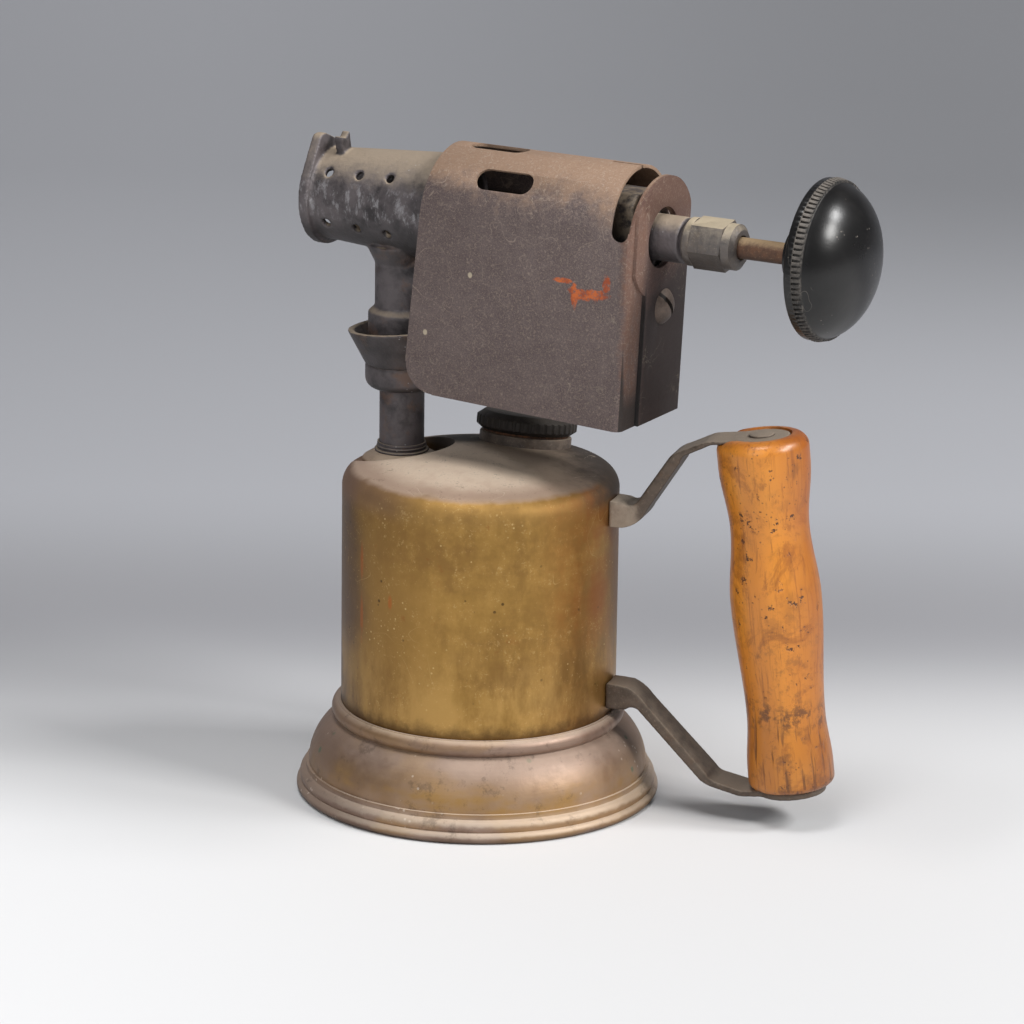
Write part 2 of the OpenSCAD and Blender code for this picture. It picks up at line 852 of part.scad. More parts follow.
module jet_nozzle() {
    color("darkgoldenrod")
        difference() {
            union() {
                on_axis(block_x - jet_hex)
                    cylinder(r = jet_r + tube_wall, h = jet_hex, $fn = 6);
                on_axis(block_x - jet_out)
                    cylinder(r1 = jet_tip_r, r2 = jet_r, h = jet_out - jet_hex);
                on_axis(block_x - eps)
                    cylinder(r = jet_r, h = jet_in);
            }
            on_axis(block_x - jet_out + 2)
                cylinder(r = 2.5 * orifice_r, h = jet_out + jet_in);
            on_axis(block_x - jet_out - 1)
                cylinder(r = orifice_r, h = jet_hex);
        }
}

// Cross section of the hood across the burner axis: straight sides under a half round roof
module hood_section(r) {
    translate([arch_z, 0])
        circle(r);
    translate([low_z - 10, -r])
        square([arch_z - low_z + 10, 2 * r]);
}

// Side view of the shield, X along the burner and Y up
module side_section() {
    end_x = rear_x + bend_r + notch_w;
    top = arch_z + half_w + notch_w;
    slope = tan(shield_rise);
    lean = tan(front_lean);
    corner_y = low_z + slope * (rear_x - front_x) + corner_r;
    corner_x = front_x + lean * (corner_y - axis_z) + corner_r;
    difference() {
        polygon([[end_x, low_z - slope * (end_x - rear_x)],
            [front_x + lean * (low_z - axis_z), low_z + slope * (rear_x - front_x)],
            [front_x + lean * (top - axis_z), top], [end_x, top]]);
        difference() {
            translate([corner_x - 2 * corner_r, corner_y - 2 * corner_r])
                square(2 * corner_r);
            translate([corner_x, corner_y])
                circle(corner_r);
        }
        translate([roof_end, notch_z])
            square([notch_w, big]);
        translate([roof_end + notch_w / 2, notch_z])
            circle(notch_w / 2);
        translate([roof_end + notch_w / 2, notch_z])
            square([big, big]);
    }
}

// Folded sides and roof, cut at the leaning rear face
module hood() {
    intersection() {
        rotate([0, -90, 180])
            translate([0, 0, -big / 2])
                linear_extrude(big)
                    difference() {
                        hood_section(half_w);
                        hood_section(inner_w);
                    }
        translate([0, big / 2, 0])
            rotate([90, 0, 0])
                linear_extrude(big)
                    side_section();
        union() {
            on_rear()
                translate([-big, -big, -big / 2])
                    cube([big, big, big]);
            on_rear()
                translate([-big, 0, -big / 2])
                    cube([big + shield_t, big, big]);
        }
    }
}

// One rear flap on the near side, its outer face at X = 0 of the rear frame
module flap() {
    translate([-shield_t, 0, 0])
        rotate([0, 90, 0])
            linear_extrude(shield_t)
                union() {
                    circle(flap_r);
                    translate([-flap_side, -half_w])
                        square([flap_low, half_w + flap_lap]);
                }
}

// Rounds the bend between a side and its flap
module bend_round() {
    translate([-bend_r, -half_w, -flap_low])
        difference() {
            translate([0, -1, -1])
                cube([bend_r + 1, bend_r + 1, flap_low + flap_r + 2]);
            translate([0, bend_r, -2])
                cylinder(r = bend_r, h = flap_low + flap_r + 4);
        }
}

// Fills the inside of that bend
module bend_fill() {
    inner = bend_r - shield_t;
    translate([-bend_r, -half_w + shield_t, -flap_low])
        difference() {
            cube([inner, inner, flap_low + flap_side]);
            translate([0, inner, -1])
                cylinder(r = inner, h = flap_low + flap_r);
        }
}

module vent(x, angle) {
    translate([rear_x - x, 0, arch_z])
        rotate([90 - angle, 0, 0]) {
            translate([-(vent_len - vent_w) / 2, -vent_w / 2, inner_w / 2])
                cube([vent_len - vent_w, vent_w, half_w]);
            for (end = [-1, 1])
                translate([end * (vent_len - vent_w) / 2, 0, inner_w / 2])
                    cylinder(d = vent_w, h = half_w);
        }
}

module windshield() {
    color("#6e625e")
        difference() {
            union() {
                hood();
                on_rear() {
                    flap();
                    bend_fill();
                    translate([shield_t, 0, 0])
                        mirror([0, 1, 0]) {
                            flap();
                            bend_fill();
                        }
                }
            }
            on_rear() {
                bend_round();
                translate([shield_t, 0, 0])
                    mirror([0, 1, 0])
                        bend_round();
                translate([-big / 2, screw_y, -screw_drop])
                    rotate([0, 90, 0])
                        cylinder(r = screw_bore, h = big);
            }
            rotate([90, 0, 0])
                translate([0, 0, -big / 2])
                    linear_extrude(big)
                        polygon([[front_x - big, low_z + tan(shield_rise) * (rear_x - front_x + big)],
                            [rear_x + big, low_z - tan(shield_rise) * big], [rear_x + big, -big],
                            [front_x - big, -big]]);
            on_axis(roof_end)
                cylinder(r = stub_r + flap_gap, h = big);
            vent(vent_side, vent_angle);
            vent(vent_side, 180 - vent_angle);
            vent(vent_top, 90);
            translate([roof_end - slit_len, 0, arch_z])
                cube([slit_len + 1, slit_w, half_w + 1]);
        }
}

module shield_screw() {
    cap_curve = (pow(screw_head_r, 2) + pow(screw_head_h, 2)) / (2 * screw_head_h);
    color("silver")
        on_rear()
            translate([shield_t, screw_y, -screw_drop])
                rotate([0, 90, 0])
                    difference() {
                        union() {
                            rotate_extrude()
                                intersection() {
                                    translate([0, screw_head_h - cap_curve])
                                        circle(cap_curve);
                                    square([screw_head_r, screw_head_h]);
                                }
                            translate([0, 0, -screw_depth - shield_t])
                                cylinder(r = screw_r, h = screw_depth + shield_t + eps);
                        }
                        rotate(slot_turn)
                            translate([-screw_head_r - 1, -slot_w / 2, screw_head_h / 2])
                                cube([2 * screw_head_r + 2, slot_w, screw_head_h]);
                    }
}

module gland_nut() {
    corner = nut_af / sqrt(3);
    round_r = (nut_af + nut_bevel) / 2;
    nose_len = nut_nose * 0.7;
    color("tan")
        difference() {
            union() {
                on_axis(nut_x)
                    cylinder(r1 = round_r - nut_bevel, r2 = round_r, h = nut_bevel);
                on_axis(nut_x + nut_bevel)
                    cylinder(r = round_r, h = nut_skirt - nut_bevel);
                intersection() {
                    on_axis(hex_x - eps)
                        rotate(nut_turn)
                            rotate(30)
                                cylinder(r = corner, h = nut_hex + eps, $fn = 6);
                    on_axis(hex_x - eps)
                        cylinder(r1 = corner + nut_hex, r2 = corner - nut_bevel, h = nut_hex + nut_bevel);
                }
                on_axis(nose_x - eps)
                    cylinder(r = nut_af / 2, h = nose_len);
                on_axis(nose_x + nose_len - 2 * eps)
                    cylinder(r1 = nut_af / 2, r2 = nut_af / 2 - 2 * nut_bevel, h = nut_nose - nose_len);
            }
            on_axis(nut_x - 1)
                cylinder(r = spigot_r + seat_gap, h = spigot_end - nut_x + 1);
            on_axis(nut_x)
                cylinder(r = spindle_r + air_gap, h = big);
        }
}

module gland_packing() {
    color("#3a3632")
        on_axis(packing_x)
            ring(packing_r, spindle_r + run_gap, packing_len);
}

module valve_needle() {
    color("lightsteelblue") {
        on_axis(seat_x - needle_cone / 2)
            cylinder(r1 = point_r, r2 = needle_r, h = needle_cone);
        on_axis(seat_x + needle_cone / 2)
            cylinder(r = needle_r, h = needle_out - needle_cone / 2 + needle_in);
    }
}

module valve_spindle() {
    color("#6b5344")
        difference() {
            on_axis(spindle_x)
                cylinder(r = spindle_r, h = spindle_end - spindle_x);
            on_axis(spindle_x - 1)
                cylinder(r = needle_r + run_gap, h = needle_in + 1 + run_gap);
        }
}

module knob_insert() {
    color("darkgoldenrod")
        on_axis(hub_x)
            ring(insert_r, spindle_r + seat_gap, insert_end - hub_x);
}

// Outline of the band with its ribs, drawn past their tops
module rib_outline() {
    pitch = 360 / knob_ribs;
    rib_top = knob_r + rib_depth;
    rib = [[0.1, knob_core], [0.28, rib_top], [0.62, rib_top], [0.8, knob_core]];
    polygon([for (i = [0 : knob_ribs - 1], step = rib)
        step[1] * [cos((i + step[0]) * pitch), sin((i + step[0]) * pitch)]]);
}

// Half section of the knob without its ribs
module knob_section() {
    start = asin(pow(rib_end / knob_h, knob_swell / 2));
    step = (90 - start) / dome_steps;
    polygon(concat(
        [[0, 0], [knob_side - knob_bevel, 0], [knob_side, knob_bevel], [knob_side, knob_edge]],
        [[knob_core - rib_depth, knob_edge], [knob_core - rib_depth, rib_end]],
        [for (i = [0 : dome_steps - 1])
            [knob_side * pow(cos(start + i * step), 2 / knob_swell),
                knob_h * pow(sin(start + i * step), 2 / knob_swell)]],
        [[0, knob_h]]));
}

module control_knob() {
    color("#151515")
        difference() {
            union() {
                on_axis(knob_x)
                    rotate_extrude()
                        knob_section();
                on_axis(knob_x + knob_edge)
                    intersection() {
                        linear_extrude(knob_rim)
                            rib_outline();
                        translate([0, 0, -knob_rim])
                            cylinder(r1 = knob_r + rib_taper, r2 = knob_r - 2 * rib_taper, h = 3 * knob_rim);
                    }
                on_axis(hub_x)
                    cylinder(r = hub_r, h = hub_len + knob_edge);
            }
            on_axis(knob_x - 1)
                difference() {
                    cylinder(r = back_r, h = back_depth + 1);
                    cylinder(r = hub_r, h = back_depth + 1);
                }
            on_axis(hub_x - 1)
                cylinder(r = insert_r + seat_gap, h = insert_end - hub_x + 1);
        }
}

module filler_neck() {
    color("goldenrod")
        on_filler()
            translate([0, 0, -neck_in])
                ring(neck_r, plug_r + run_gap, neck_h + neck_in);
}

module filler_washer() {
    color("saddlebrown")
        on_filler()
            translate([0, 0, neck_h])
                ring(neck_r - 2 * air_gap, plug_r + air_gap, washer_t);
}

module filler_cap() {
    color("darkgoldenrod")
        on_filler() {
            difference() {
                translate([0, 0, cap_z])
                    rotate_extrude()
                        polygon([[0, 0], [cap_r - 1.3 * cap_under, 0], [cap_r, cap_under],
                            [cap_r, cap_h - cap_edge], [cap_r - 1.3 * cap_edge, cap_h], [0, cap_h]]);
                for (i = [0 : cap_notches - 1])
                    rotate(i * 360 / cap_notches)
                        translate([cap_r + cap_notch_r * 0.4, 0, cap_z - 1])
                            cylinder(r = cap_notch_r, h = cap_h + 2, $fn = 24);
            }
            translate([0, 0, cap_z - plug_len])
                cylinder(r = plug_r, h = plug_len + eps);
        }
}

function unit(v) = v / norm(v);

// Arc of the given radius that rounds the corner b between a and c
function rounded(a, b, c, r, n = 8) =
    let (u = unit(a - b), v = unit(c - b), half = acos(u * v) / 2)
    let (mid = b + unit(u + v) * r / sin(half))
    let (from = b + u * r / tan(half) - mid, to = b + v * r / tan(half) - mid)
    let (start = atan2(from.y, from.x), turn = atan2(from.x * to.y - from.y * to.x, from * to))
    [for (i = [0 : n]) mid + r * [cos(start + turn * i / n), sin(start + turn * i / n)]];

function side_of(path, i) =
    let (a = path[max(i - 1, 0)], b = path[min(i + 1, len(path) - 1)], d = unit(b - a))
    [-d.y, d.x];

// Tapering bar along a path of points in the XZ plane, thick at the root and thin at the plate
module bar(path, thin, taper) {
    last = len(path) - 1;
    half = [for (i = [0 : last]) (thin + (bracket_root - thin) * pow(1 - i / last, taper)) / 2];
    intersection() {
        translate([0, bracket_end_w / 2, 0])
            rotate([90, 0, 0])
                linear_extrude(bracket_end_w)
                    polygon(concat([for (i = [0 : last]) path[i] + side_of(path, i) * half[i]],
                        [for (i = [last : -1 : 0]) path[i] - side_of(path, i) * half[i]]));
        linear_extrude(big)
            polygon([[tank_r - 2, -bracket_w / 2], [path[last].x, -bracket_end_w / 2],
                [path[last].x + 1, 0], [path[last].x, bracket_end_w / 2], [tank_r - 2, bracket_w / 2]]);
    }
}

// Point of the grip frame in the XZ plane
function grip_point(x, z) = [grip_x + x * cos(grip_lean) - z * sin(grip_lean),
    grip_z + x * sin(grip_lean) + z * cos(grip_lean)];

// Bracket from a root on the tank wall to a round plate at one end of the grip
module bracket(root_z, plate_z, reach, bow, r, t, taper) {
    z = plate_z + t / 2;
    start = [tank_r - 1, root_z];
    knee = [tank_r + reach, root_z];
    join = grip_point(-grip_top_r - bracket_run, z + bow);
    edge = grip_point(-grip_top_r - 1, z);
    finish = grip_point(0, z);
    path = concat([start],
        rounded(start, knee, join, bracket_bend),
        rounded(knee, join, edge, bracket_bend),
        rounded(join, edge, finish, bracket_bend),
        [finish]);
    difference() {
        union() {
            bar(path, t - air_gap / 2, taper);
            on_grip()
                translate([0, 0, plate_z])
                    cylinder(r = r, h = t);
        }
        cylinder(r = tank_r + seat_gap, h = big);
        on_grip()
            translate([0, 0, plate_z - 1])
                cylinder(r = rod_r + seat_gap, h = t + 2);
        on_grip()
            cylinder(r = grip_top_r + air_gap, h = grip_len - top_seat);
    }
}

module upper_bracket() {
    color("#5c544c")
        on_handle()
            bracket(shoulder_z - upper_down, grip_len - top_seat, upper_reach, upper_bow, top_plate_r,
                top_plate_t, upper_taper);
}

module lower_bracket() {
    color("#5c544c")
        on_handle()
            bracket(foot_h + lower_up, -plate_t, lower_reach, lower_bow, plate_r, plate_t, lower_taper);
}

// Height and radius of the grip's turned shape, the height as a part of its length
grip_shape = [[0.059, grip_foot_r], [0.205, grip_low_r], [0.537, grip_belly_r], [0.742, grip_neck_r],
    [0.925, grip_top_r]];

// Smooth step from one radius to the next
function ease(t) = (1 - cos(180 * t)) / 2;

function grip_radius(h, i = 0) =
    h <= grip_shape[0][0] ? grip_shape[0][1] :
    i >= len(grip_shape) - 1 ? grip_shape[i][1] :
    h <= grip_shape[i + 1][0] ?
        grip_shape[i][1] + (grip_shape[i + 1][1] - grip_shape[i][1])
            * ease((h - grip_shape[i][0]) / (grip_shape[i + 1][0] - grip_shape[i][0])) :
    grip_radius(h, i + 1);

// Seat for the end of the upper bracket
module top_recess() {
    translate([0, 0, grip_len - top_seat]) {
        cylinder(r = top_plate_r + air_gap, h = grip_crown);
        translate([-grip_top_r - 1, -bracket_end_w / 2 - air_gap, 0])
            cube([grip_top_r + 1, bracket_end_w + 2 * air_gap, grip_crown]);
    }
}

module turned_grip() {
    steps = 40;
    low = grip_edge / grip_len;
    high = 1 - grip_crown / grip_len;
    rotate_extrude()
        difference() {
            union() {
                polygon(concat([[0, grip_edge]],
                    [for (i = [0 : steps]) let (h = low + (high - low) * i / steps)
                        [grip_radius(h), h * grip_len]],
                    [[0, grip_len - grip_crown]]));
                square([grip_foot_r - grip_edge, grip_len / 10]);
                translate([grip_foot_r - grip_edge, grip_edge])
                    circle(grip_edge);
                translate([0, grip_len * 0.9])
                    square([grip_top_r - grip_crown, grip_len / 10]);
                translate([grip_top_r - grip_crown, grip_len - grip_crown])
                    circle(grip_crown);
            }
            square([rod_r + seat_gap, grip_len]);
        }
}

module handle_grip() {
    color("#a8642c")
        on_handle()
            on_grip()
                difference() {
                    turned_grip();
                    top_recess();
                }
}

module handle_rod() {
    color("slategray")
        on_handle()
            on_grip() {
                translate([0, 0, -plate_t - rod_tail])
                    cylinder(r = rod_r, h = grip_len - top_seat + plate_t + top_plate_t + rod_tail + eps);
                translate([0, 0, grip_len - top_seat + top_plate_t])
                    cylinder(r1 = rod_head_r, r2 = rod_head_r - rod_head_h / 2, h = rod_head_h);
            }
}

module rod_burr() {
    color("slategray")
        on_handle()
            on_grip()
                translate([0, 0, -plate_t - burr_t])
                    ring(rod_head_r + rod_head_h, rod_r + seat_gap, burr_t);
}
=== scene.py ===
import json
import math

import bpy
from mathutils import Matrix, Quaternion, Vector

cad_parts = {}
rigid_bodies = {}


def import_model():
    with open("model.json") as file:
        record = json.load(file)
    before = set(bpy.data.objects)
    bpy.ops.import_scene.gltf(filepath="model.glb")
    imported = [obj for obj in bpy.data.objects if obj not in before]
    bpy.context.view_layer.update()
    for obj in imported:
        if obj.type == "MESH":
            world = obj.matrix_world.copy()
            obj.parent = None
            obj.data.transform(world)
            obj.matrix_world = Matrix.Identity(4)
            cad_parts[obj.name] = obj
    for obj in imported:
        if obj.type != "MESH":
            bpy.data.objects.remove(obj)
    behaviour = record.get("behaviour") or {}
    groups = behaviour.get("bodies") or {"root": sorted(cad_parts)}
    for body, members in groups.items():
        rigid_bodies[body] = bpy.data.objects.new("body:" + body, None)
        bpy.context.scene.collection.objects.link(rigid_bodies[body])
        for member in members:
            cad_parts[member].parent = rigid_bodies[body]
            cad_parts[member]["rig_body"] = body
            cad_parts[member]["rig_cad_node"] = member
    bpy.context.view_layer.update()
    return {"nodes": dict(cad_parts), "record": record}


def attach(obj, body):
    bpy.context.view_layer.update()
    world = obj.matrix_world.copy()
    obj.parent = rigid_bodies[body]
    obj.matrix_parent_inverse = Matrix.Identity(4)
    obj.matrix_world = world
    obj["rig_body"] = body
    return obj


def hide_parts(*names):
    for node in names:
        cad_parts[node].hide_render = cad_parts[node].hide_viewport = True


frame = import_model()
nodes = frame["nodes"]
print("frame loaded:", len(nodes), "nodes")

pictureTurn = math.radians(29.46)  # the photograph's angle round the tank
pictureRight = (math.cos(pictureTurn), math.sin(pictureTurn))
pictureBack = (-math.sin(pictureTurn), math.cos(pictureTurn))
jointOf = {joint["name"]: joint for joint in frame["record"]["behaviour"]["joints"]}
valveHeight = jointOf["knob_turn"]["pos_m"][2]


def paint(red, green, blue):  # screen colour 0-255 to the shader's own numbers
    def linear(c):
        c /= 255
        return c / 12.92 if c <= 0.04045 else ((c + 0.055) / 1.055) ** 2.4
    return (linear(red), linear(green), linear(blue), 1)


class Value:  # a socket that takes part in sums
    def __init__(self, finish, socket):
        self.finish = finish
        self.socket = socket

    def maths(self, operation, other, swapped=False):
        first, second = (other, self) if swapped else (self, other)
        return self.finish.node("ShaderNodeMath", {"operation": operation}, {0: first, 1: second})

    def __add__(self, other):
        return self.maths("ADD", other)

    def __sub__(self, other):
        return self.maths("SUBTRACT", other)

    def __rsub__(self, other):
        return self.maths("SUBTRACT", other, True)

    def __mul__(self, other):
        return self.maths("MULTIPLY", other)

    def __truediv__(self, other):
        return self.maths("DIVIDE", other)

    def __rtruediv__(self, other):
        return self.maths("DIVIDE", other, True)

    def __pow__(self, other):
        return self.maths("POWER", other)

    __radd__ = __add__
    __rmul__ = __mul__

    def most(self, other):
        return self.maths("MAXIMUM", other)

    def least(self, other):
        return self.maths("MINIMUM", other)

    def off(self, other):  # distance from a number, either way
        return self.finish.node("ShaderNodeMath", {"operation": "ABSOLUTE"}, {0: self - other})


class Finish:  # one material and the nodes in it
    def __init__(self, name):
        self.material = bpy.data.materials.new(name)
        self.material.use_nodes = True
        self.tree = self.material.node_tree
        self.tree.nodes.clear()
        self.place = self.node("ShaderNodeTexCoord", out="Object")
        self.x, self.y, self.z = self.split(self.place)

    def node(self, kind, settings=None, sockets=None, out=0):
        made = self.tree.nodes.new(kind)
        for name, value in (settings or {}).items():
            setattr(made, name, value)
        for name, value in (sockets or {}).items():
            if isinstance(value, Value):
                self.tree.links.new(value.socket, made.inputs[name])
            else:
                made.inputs[name].default_value = value
        return Value(self, made.outputs[out])

    def split(self, vector):
        first = self.node("ShaderNodeSeparateXYZ", {}, {0: vector})
        return [first] + [Value(self, first.socket.node.outputs[i]) for i in (1, 2)]

    def moved(self, scale, turn=(0, 0, 0), shift=(0, 0, 0)):
        return self.node("ShaderNodeMapping", {}, {"Vector": self.place, "Scale": scale,
            "Rotation": turn, "Location": shift})

    def noise(self, scale, detail=3, rough=0.55, at=None, twist=0):
        return self.node("ShaderNodeTexNoise", {}, {"Vector": at or self.place, "Scale": scale,
            "Detail": detail, "Roughness": rough, "Distortion": twist})

    def cells(self, scale):  # distance to the nearest of many scattered points
        return self.node("ShaderNodeTexVoronoi", {}, {"Vector": self.place, "Scale": scale})

    def band(self, value, low, high):  # smooth step from 0 at low to 1 at high
        return self.node("ShaderNodeMapRange", {"interpolation_type": "SMOOTHSTEP"},
            {0: value, 1: low, 2: high, 3: 0, 4: 1})

    def between(self, value, rise, fall):  # 1 from one soft edge to another
        return self.band(value, *rise) * (1 - self.band(value, *fall))

    def toward(self, way):  # distance along a direction on the ground
        return self.x * way[0] + self.y * way[1]

    def mix(self, amount, first, second):
        return self.node("ShaderNodeMix", {"data_type": "RGBA"}, {0: amount, 6: first, 7: second}, 2)

    def facing(self):  # the surface's own direction, for what lies on upper sides
        return self.split(self.node("ShaderNodeNewGeometry", {}, {}, "Normal"))

    def near(self, point, size):  # distance from a point, in units of size
        gaps = [(axis - at) / reach for axis, at, reach in zip((self.x, self.y, self.z), point, size)]
        total = gaps[0] * gaps[0] + gaps[1] * gaps[1] + gaps[2] * gaps[2]
        return total ** 0.5

    def specks(self, scale, size, patches, share):  # dots of about the size, only in some patches
        dots = 1 - self.band(self.cells(scale), size * 0.5, size)
        return dots * self.band(self.noise(patches, 2), 1 - share, 1.08 - share)

    def threads(self, scale, width, patches, share):  # thin scratches
        line = 1 - self.band(self.noise(scale, 1, twist=0.6).off(0.5), width * 0.4, width)
        return line * self.band(self.noise(patches, 1), 1 - share, 1.06 - share)

    def bump(self, height, distance, strength):
        return self.node("ShaderNodeBump", {}, {"Height": height, "Distance": distance, "Strength": strength})

    def surface(self, colour, rough, metal, normal, **fixed):
        sockets = {"Base Color": colour, "Roughness": rough, "Metallic": metal, "Normal": normal}
        sockets.update({name.replace("_", " "): value for name, value in fixed.items()})
        shader = self.node("ShaderNodeBsdfPrincipled", {}, sockets)
        out = self.tree.nodes.new("ShaderNodeOutputMaterial")
        self.tree.links.new(shader.socket, out.inputs["Surface"])
        return self.material


tankLook = {
    "gold": paint(176, 137, 74), "shine": paint(204, 164, 98), "olive": paint(158, 122, 62),
    "brown": paint(136, 102, 54), "amber": paint(140, 84, 38), "edge": paint(92, 70, 56),
    # grime: dust and painted shade on the dome's back right
    "dome": paint(206, 180, 158), "dust": paint(230, 212, 190), "grime": paint(154, 134, 116),
    "spot": paint(66, 46, 28), "speck": paint(206, 178, 122), "sootAndShadow": paint(62, 53, 46),
    "pocketShadow": paint(26, 23, 22), "streak": paint(172, 92, 40), "mauve": paint(134, 106, 90),
    "grimeEdge": (0.0285, 0.0335), "wornEdge": (0.036, 0.062),  # start and end of soft edges, in metres
    "shoulderEdge": (0.092, 0.098), "mauveEdge": (0.091, 0.099), "domeEdge": (0.1006, 0.1024),
    "rimEdge": (0.1022, 0.1044), "leftTint": (0.006, 0.034), "leftFace": (0.016, 0.038),
    "leftEdge": (0.033, 0.041), "rightWay": (1, 0.35), "rightTint": (0.022, 0.04),
    "rightEdgeWay": (1, 0.6), "rightEdge": (0.042, 0.052), "dirtAndShadeWay": (0.458, 0.889),
    "dirtAndShadeEdge": (-0.001, 0.006), "behindWay": (0.8, 0.9), "behindEdge": (0.016, 0.041),
    "pocketAt": (-0.0165, 0.0175, 0.1015), "pocketSize": (0.0165, 0.0135, 0.02),
    "drips": ((-0.0193, -0.0373, 0.078, 0.0075), (-0.0193, -0.0373, 0.060, 0.010),
        (-0.0070, -0.0414, 0.068, 0.003)), "dripWidth": 0.001,  # place and half length of each
}


def tankBrass(look):
    f = Finish("tankBrass")
    large = f.noise(30, 5, 0.62)
    fine = f.noise(230, 4, 0.65)
    grain = f.noise(1400, 3, 0.7)
    streaks = f.noise(1, 5, 0.65, f.moved((70, 70, 26)))
    wiped = f.noise(1, 4, 0.65, f.moved((16, 16, 90)))
    rings = f.noise(1, 2, 0.5, f.moved((3, 3, 1500)))
    colour = f.mix(f.band(large * 0.5 + wiped * 0.3 + streaks * 0.2, 0.38, 0.6), look["brown"], look["olive"])
    colour = f.mix(f.band(streaks * 0.4 + fine * 0.35 + large * 0.25, 0.42, 0.62) * 0.9, colour, look["gold"])
    rightSide = f.band(f.toward(look["rightWay"]) + (large - 0.5) * 0.03, *look["rightTint"])
    colour = f.mix(rightSide * f.band(streaks * 0.6 + wiped * 0.4, 0.38, 0.6) * 0.85, colour, look["amber"])
    across = f.toward(pictureRight)
    # painted shade: the left side, as seen, browner
    leftSide = f.band((large - 0.5) * 0.03 - across, *look["leftTint"])
    colour = f.mix(leftSide * 0.7, colour, look["brown"])
    # painted shade: the tank's left and right edges, as seen, darker
    leftEdge = f.band((large - 0.5) * 0.016 - across, *look["leftEdge"])
    rightEdge = f.band(f.toward(look["rightEdgeWay"]) + (large - 0.5) * 0.01, *look["rightEdge"])
    colour = f.mix(leftEdge.most(rightEdge) * 0.75, colour, look["edge"])
    colour = f.mix(f.specks(240, 0.15, 60, 0.46) * 0.8, colour, look["spot"])
    stains = f.band(f.noise(150, 4, 0.7), 0.62, 0.68) * f.band(f.noise(50, 2), 0.45, 0.6)
    colour = f.mix(stains * 0.45, colour, look["amber"])
    crumbs = f.specks(520, 0.2, 70, 0.45) + f.band(grain * 0.6 + fine * 0.4, 0.56, 0.66) * 0.5
    colour = f.mix(crumbs.least(1) * 0.75, colour, look["speck"])
    colour = f.mix(f.threads(60, 0.004, 30, 0.42) * 0.4, colour, look["speck"])
    for x, y, z, long in look["drips"]:
        drip = 1 - f.band(f.near((x, y, z), (look["dripWidth"], look["dripWidth"], long)), 0.4, 1)
        colour = f.mix(drip * f.band(fine, 0.3, 0.5) * 0.6, colour, look["streak"])
    shoulder = f.band(f.z, *look["shoulderEdge"])
    leftFace = f.band((large - 0.5) * 0.02 - across, *look["leftFace"])
    high = f.band(f.z + (large - 0.5) * 0.006, *look["mauveEdge"])
    colour = f.mix(leftFace * high * 0.7, colour, look["mauve"])
    edge = f.z + (large - 0.5) * 0.0024 + (fine - 0.5) * 0.001
    dome = f.band(edge, *look["domeEdge"])
    colour = f.mix(dome, colour, look["dome"])
    rim = dome * (1 - f.band(f.z + (large - 0.5) * 0.002, *look["rimEdge"]))
    colour = f.mix(rim * 0.45, colour, look["mauve"])
    up = f.facing()[2]
    dust = f.band(up + (fine - 0.5) * 0.2, 0.9, 1.0) * dome * (1 - rim)
    colour = f.mix(dust * (0.35 + fine * 0.5), colour, look["dust"])
    colour = f.mix(dome * f.band(fine * 0.5 + grain * 0.5, 0.54, 0.66) * 0.4, colour, look["edge"])
    # dust and painted shade: the dome darker towards the back right, where the shield's shadow falls
    dirtAndShade = f.band(f.toward(look["dirtAndShadeWay"]) + (fine - 0.5) * 0.006, *look["dirtAndShadeEdge"])
    colour = f.mix(dome * dirtAndShade * 0.75, colour, look["grime"])
    # soot and painted shadow: the dome's back, under the shield, darkened
    behind = f.band(f.toward(look["behindWay"]) + (fine - 0.5) * 0.016, *look["behindEdge"])
    colour = f.mix(shoulder * behind * 0.97, colour, look["sootAndShadow"])
    # painted shade: the pocket's wall behind the riser near black
    pocket = 1 - f.band(f.near(look["pocketAt"], look["pocketSize"]), 0.5, 1.1)
    colour = f.mix(pocket * 0.9, colour, look["pocketShadow"])
    colour = f.mix(dome * f.threads(120, 0.006, 40, 0.5) * 0.5, colour, look["dust"])
    worn = (1 - f.band(f.z + (large - 0.5) * 0.03, *look["wornEdge"])) * f.band(streaks, 0.35, 0.6)
    colour = f.mix(worn * 0.45, colour, look["shine"])
    grime = 1 - f.band(f.z + (fine - 0.5) * 0.006, *look["grimeEdge"])
    colour = f.mix(grime * 0.7, colour, look["spot"])
    rough = 0.36 + fine * 0.16 + dust * 0.12 + shoulder * 0.16
    metal = 0.78 - dome.most(shoulder * 0.5) * 0.5
    normal = f.bump(rings * 0.35 + fine * 0.6 + grain * 0.15 + large * 2, 0.00012, 0.6)
    return f.surface(colour, rough, metal, normal)


footLook = {
    "brown": paint(158, 134, 118), "dark": paint(122, 98, 84), "gold": paint(160, 124, 74),
    "dust": paint(206, 190, 172), "green": paint(84, 108, 82), "spot": paint(60, 46, 36),
    "seamEdge": (0.0004, 0.0024), "lipEdge": (0.0065, 0.0085),
    "beltRise": (0.006, 0.01), "beltFall": (0.015, 0.021),
    "bellRise": (0.013, 0.018), "bellFall": (0.0265, 0.029), "leftTint": (0.026, 0.05),
}


